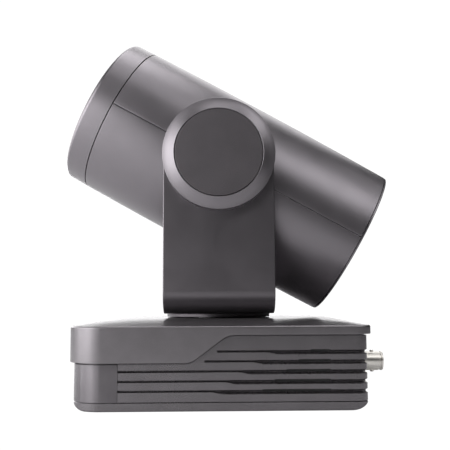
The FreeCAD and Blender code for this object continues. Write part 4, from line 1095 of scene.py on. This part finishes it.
# Name, azimuth, elevation, width and height, brightness and distance of each light.
SOFT_BOXES = (
    ("left_front_box", -30, 12, (0.3, 0.4), 2.8),
    ("left_box", -98, 12, (0.5, 0.5), 1.7),
    ("left_back_box", -132, 16, (0.7, 0.5), 2.5),
    ("left_near_box", -64, 16, (0.5, 0.5), 2.9, 0.54),
    ("left_mid_box", -48, 12, (0.5, 0.45), 1.9),
    ("back_low_box", -172, 6, (1.1, 0.26), 3.2, 1.0),
    ("back_box", 180, 45, (0.9, 0.5), 2.0),
    ("top_box", 180, 85, (0.5, 0.5), 3.6),
    ("top_front_box", 0, 65, (0.5, 0.35), 1.3),
    ("front_box", -10, 38, (0.25, 0.25), 0.7),
    ("right_front_box", 45, 42, (0.5, 0.4), 2.5),
    ("right_box", 90, 42, (0.6, 0.4), 0.8),
)


def soft_box(name, azimuth, elevation, size, brightness, distance=0.9):
    """A rectangular light that faces the object. Azimuth is measured from +X towards +Y, in degrees."""
    data = bpy.data.lights.new(name, "AREA")
    data.shape = "RECTANGLE"
    data.size, data.size_y = size
    data.energy = brightness * pi * size[0] * size[1]
    item = in_scene(name, data)
    turn, lift = radians(azimuth), radians(elevation)
    out = Vector((cos(turn) * cos(lift), sin(turn) * cos(lift), sin(lift)))
    item.location = LIT_SPOT + out * distance
    item.rotation_mode = "QUATERNION"
    item.rotation_quaternion = (-out).to_track_quat("-Z", "Y")
    item.visible_camera = False


def seen_white(tree, shader, out):
    """Shows the camera plain white, and every other ray the shader."""
    mix = tree.nodes.new("ShaderNodeMixShader")
    path = tree.nodes.new("ShaderNodeLightPath")
    white = tree.nodes.new("ShaderNodeEmission")
    white.inputs["Strength"].default_value = SEEN_WHITE
    tree.links.new(path.outputs["Is Camera Ray"], mix.inputs[0])
    tree.links.new(shader, mix.inputs[1])
    tree.links.new(white.outputs[0], mix.inputs[2])
    tree.links.new(mix.outputs[0], out.inputs["Surface"])


def world():
    """A white studio seen by the camera, and a dim one that lights the object."""
    made = bpy.data.worlds.new("studio")
    bpy.context.scene.world = made
    made.use_nodes = True
    tree = made.node_tree
    tree.nodes.clear()
    out = tree.nodes.new("ShaderNodeOutputWorld")
    lit = tree.nodes.new("ShaderNodeBackground")
    lit.inputs["Strength"].default_value = STUDIO_GLOW
    lit.inputs["Color"].default_value = (1, 1, 1, 1)
    seen_white(tree, lit.outputs[0], out)


def floor():
    """A sheet of pale paper that the camera sees as bright as the studio behind it."""
    half, clear = 3.0, 0.0001
    mesh = bpy.data.meshes.new("floor")
    height = cad_box[0][2] - clear
    corners = [(x * half, y * half, height) for x, y in ((-1, -1), (1, -1), (1, 1), (-1, 1))]
    mesh.from_pydata(corners, [], [(0, 1, 2, 3)])
    item = in_scene("floor", mesh)
    paint = Paint("floor_paper", 0.8)
    paint.colour(paint.ramp(paint.noise(60.0), (0.68, 0.68, 0.69), (0.74, 0.74, 0.74)))
    seen_white(paint.tree, paint.shader.outputs[0], paint.tree.nodes["Material Output"])
    mesh.materials.append(paint.material)


dress_cad_nodes()
main_housing()
vent_shade_sheets()
bottom_tray()
top_cover()
ir_window()
feet()
yoke_screws()
bnc_jack()
port_details()
yoke_bracket()
hubs()
turntable()
shells()
front_ring()
rear_cap()
optics()
camera()
world()
floor()
for light in SOFT_BOXES:
    soft_box(*light)
bpy.context.scene.view_settings.view_transform = "Standard"
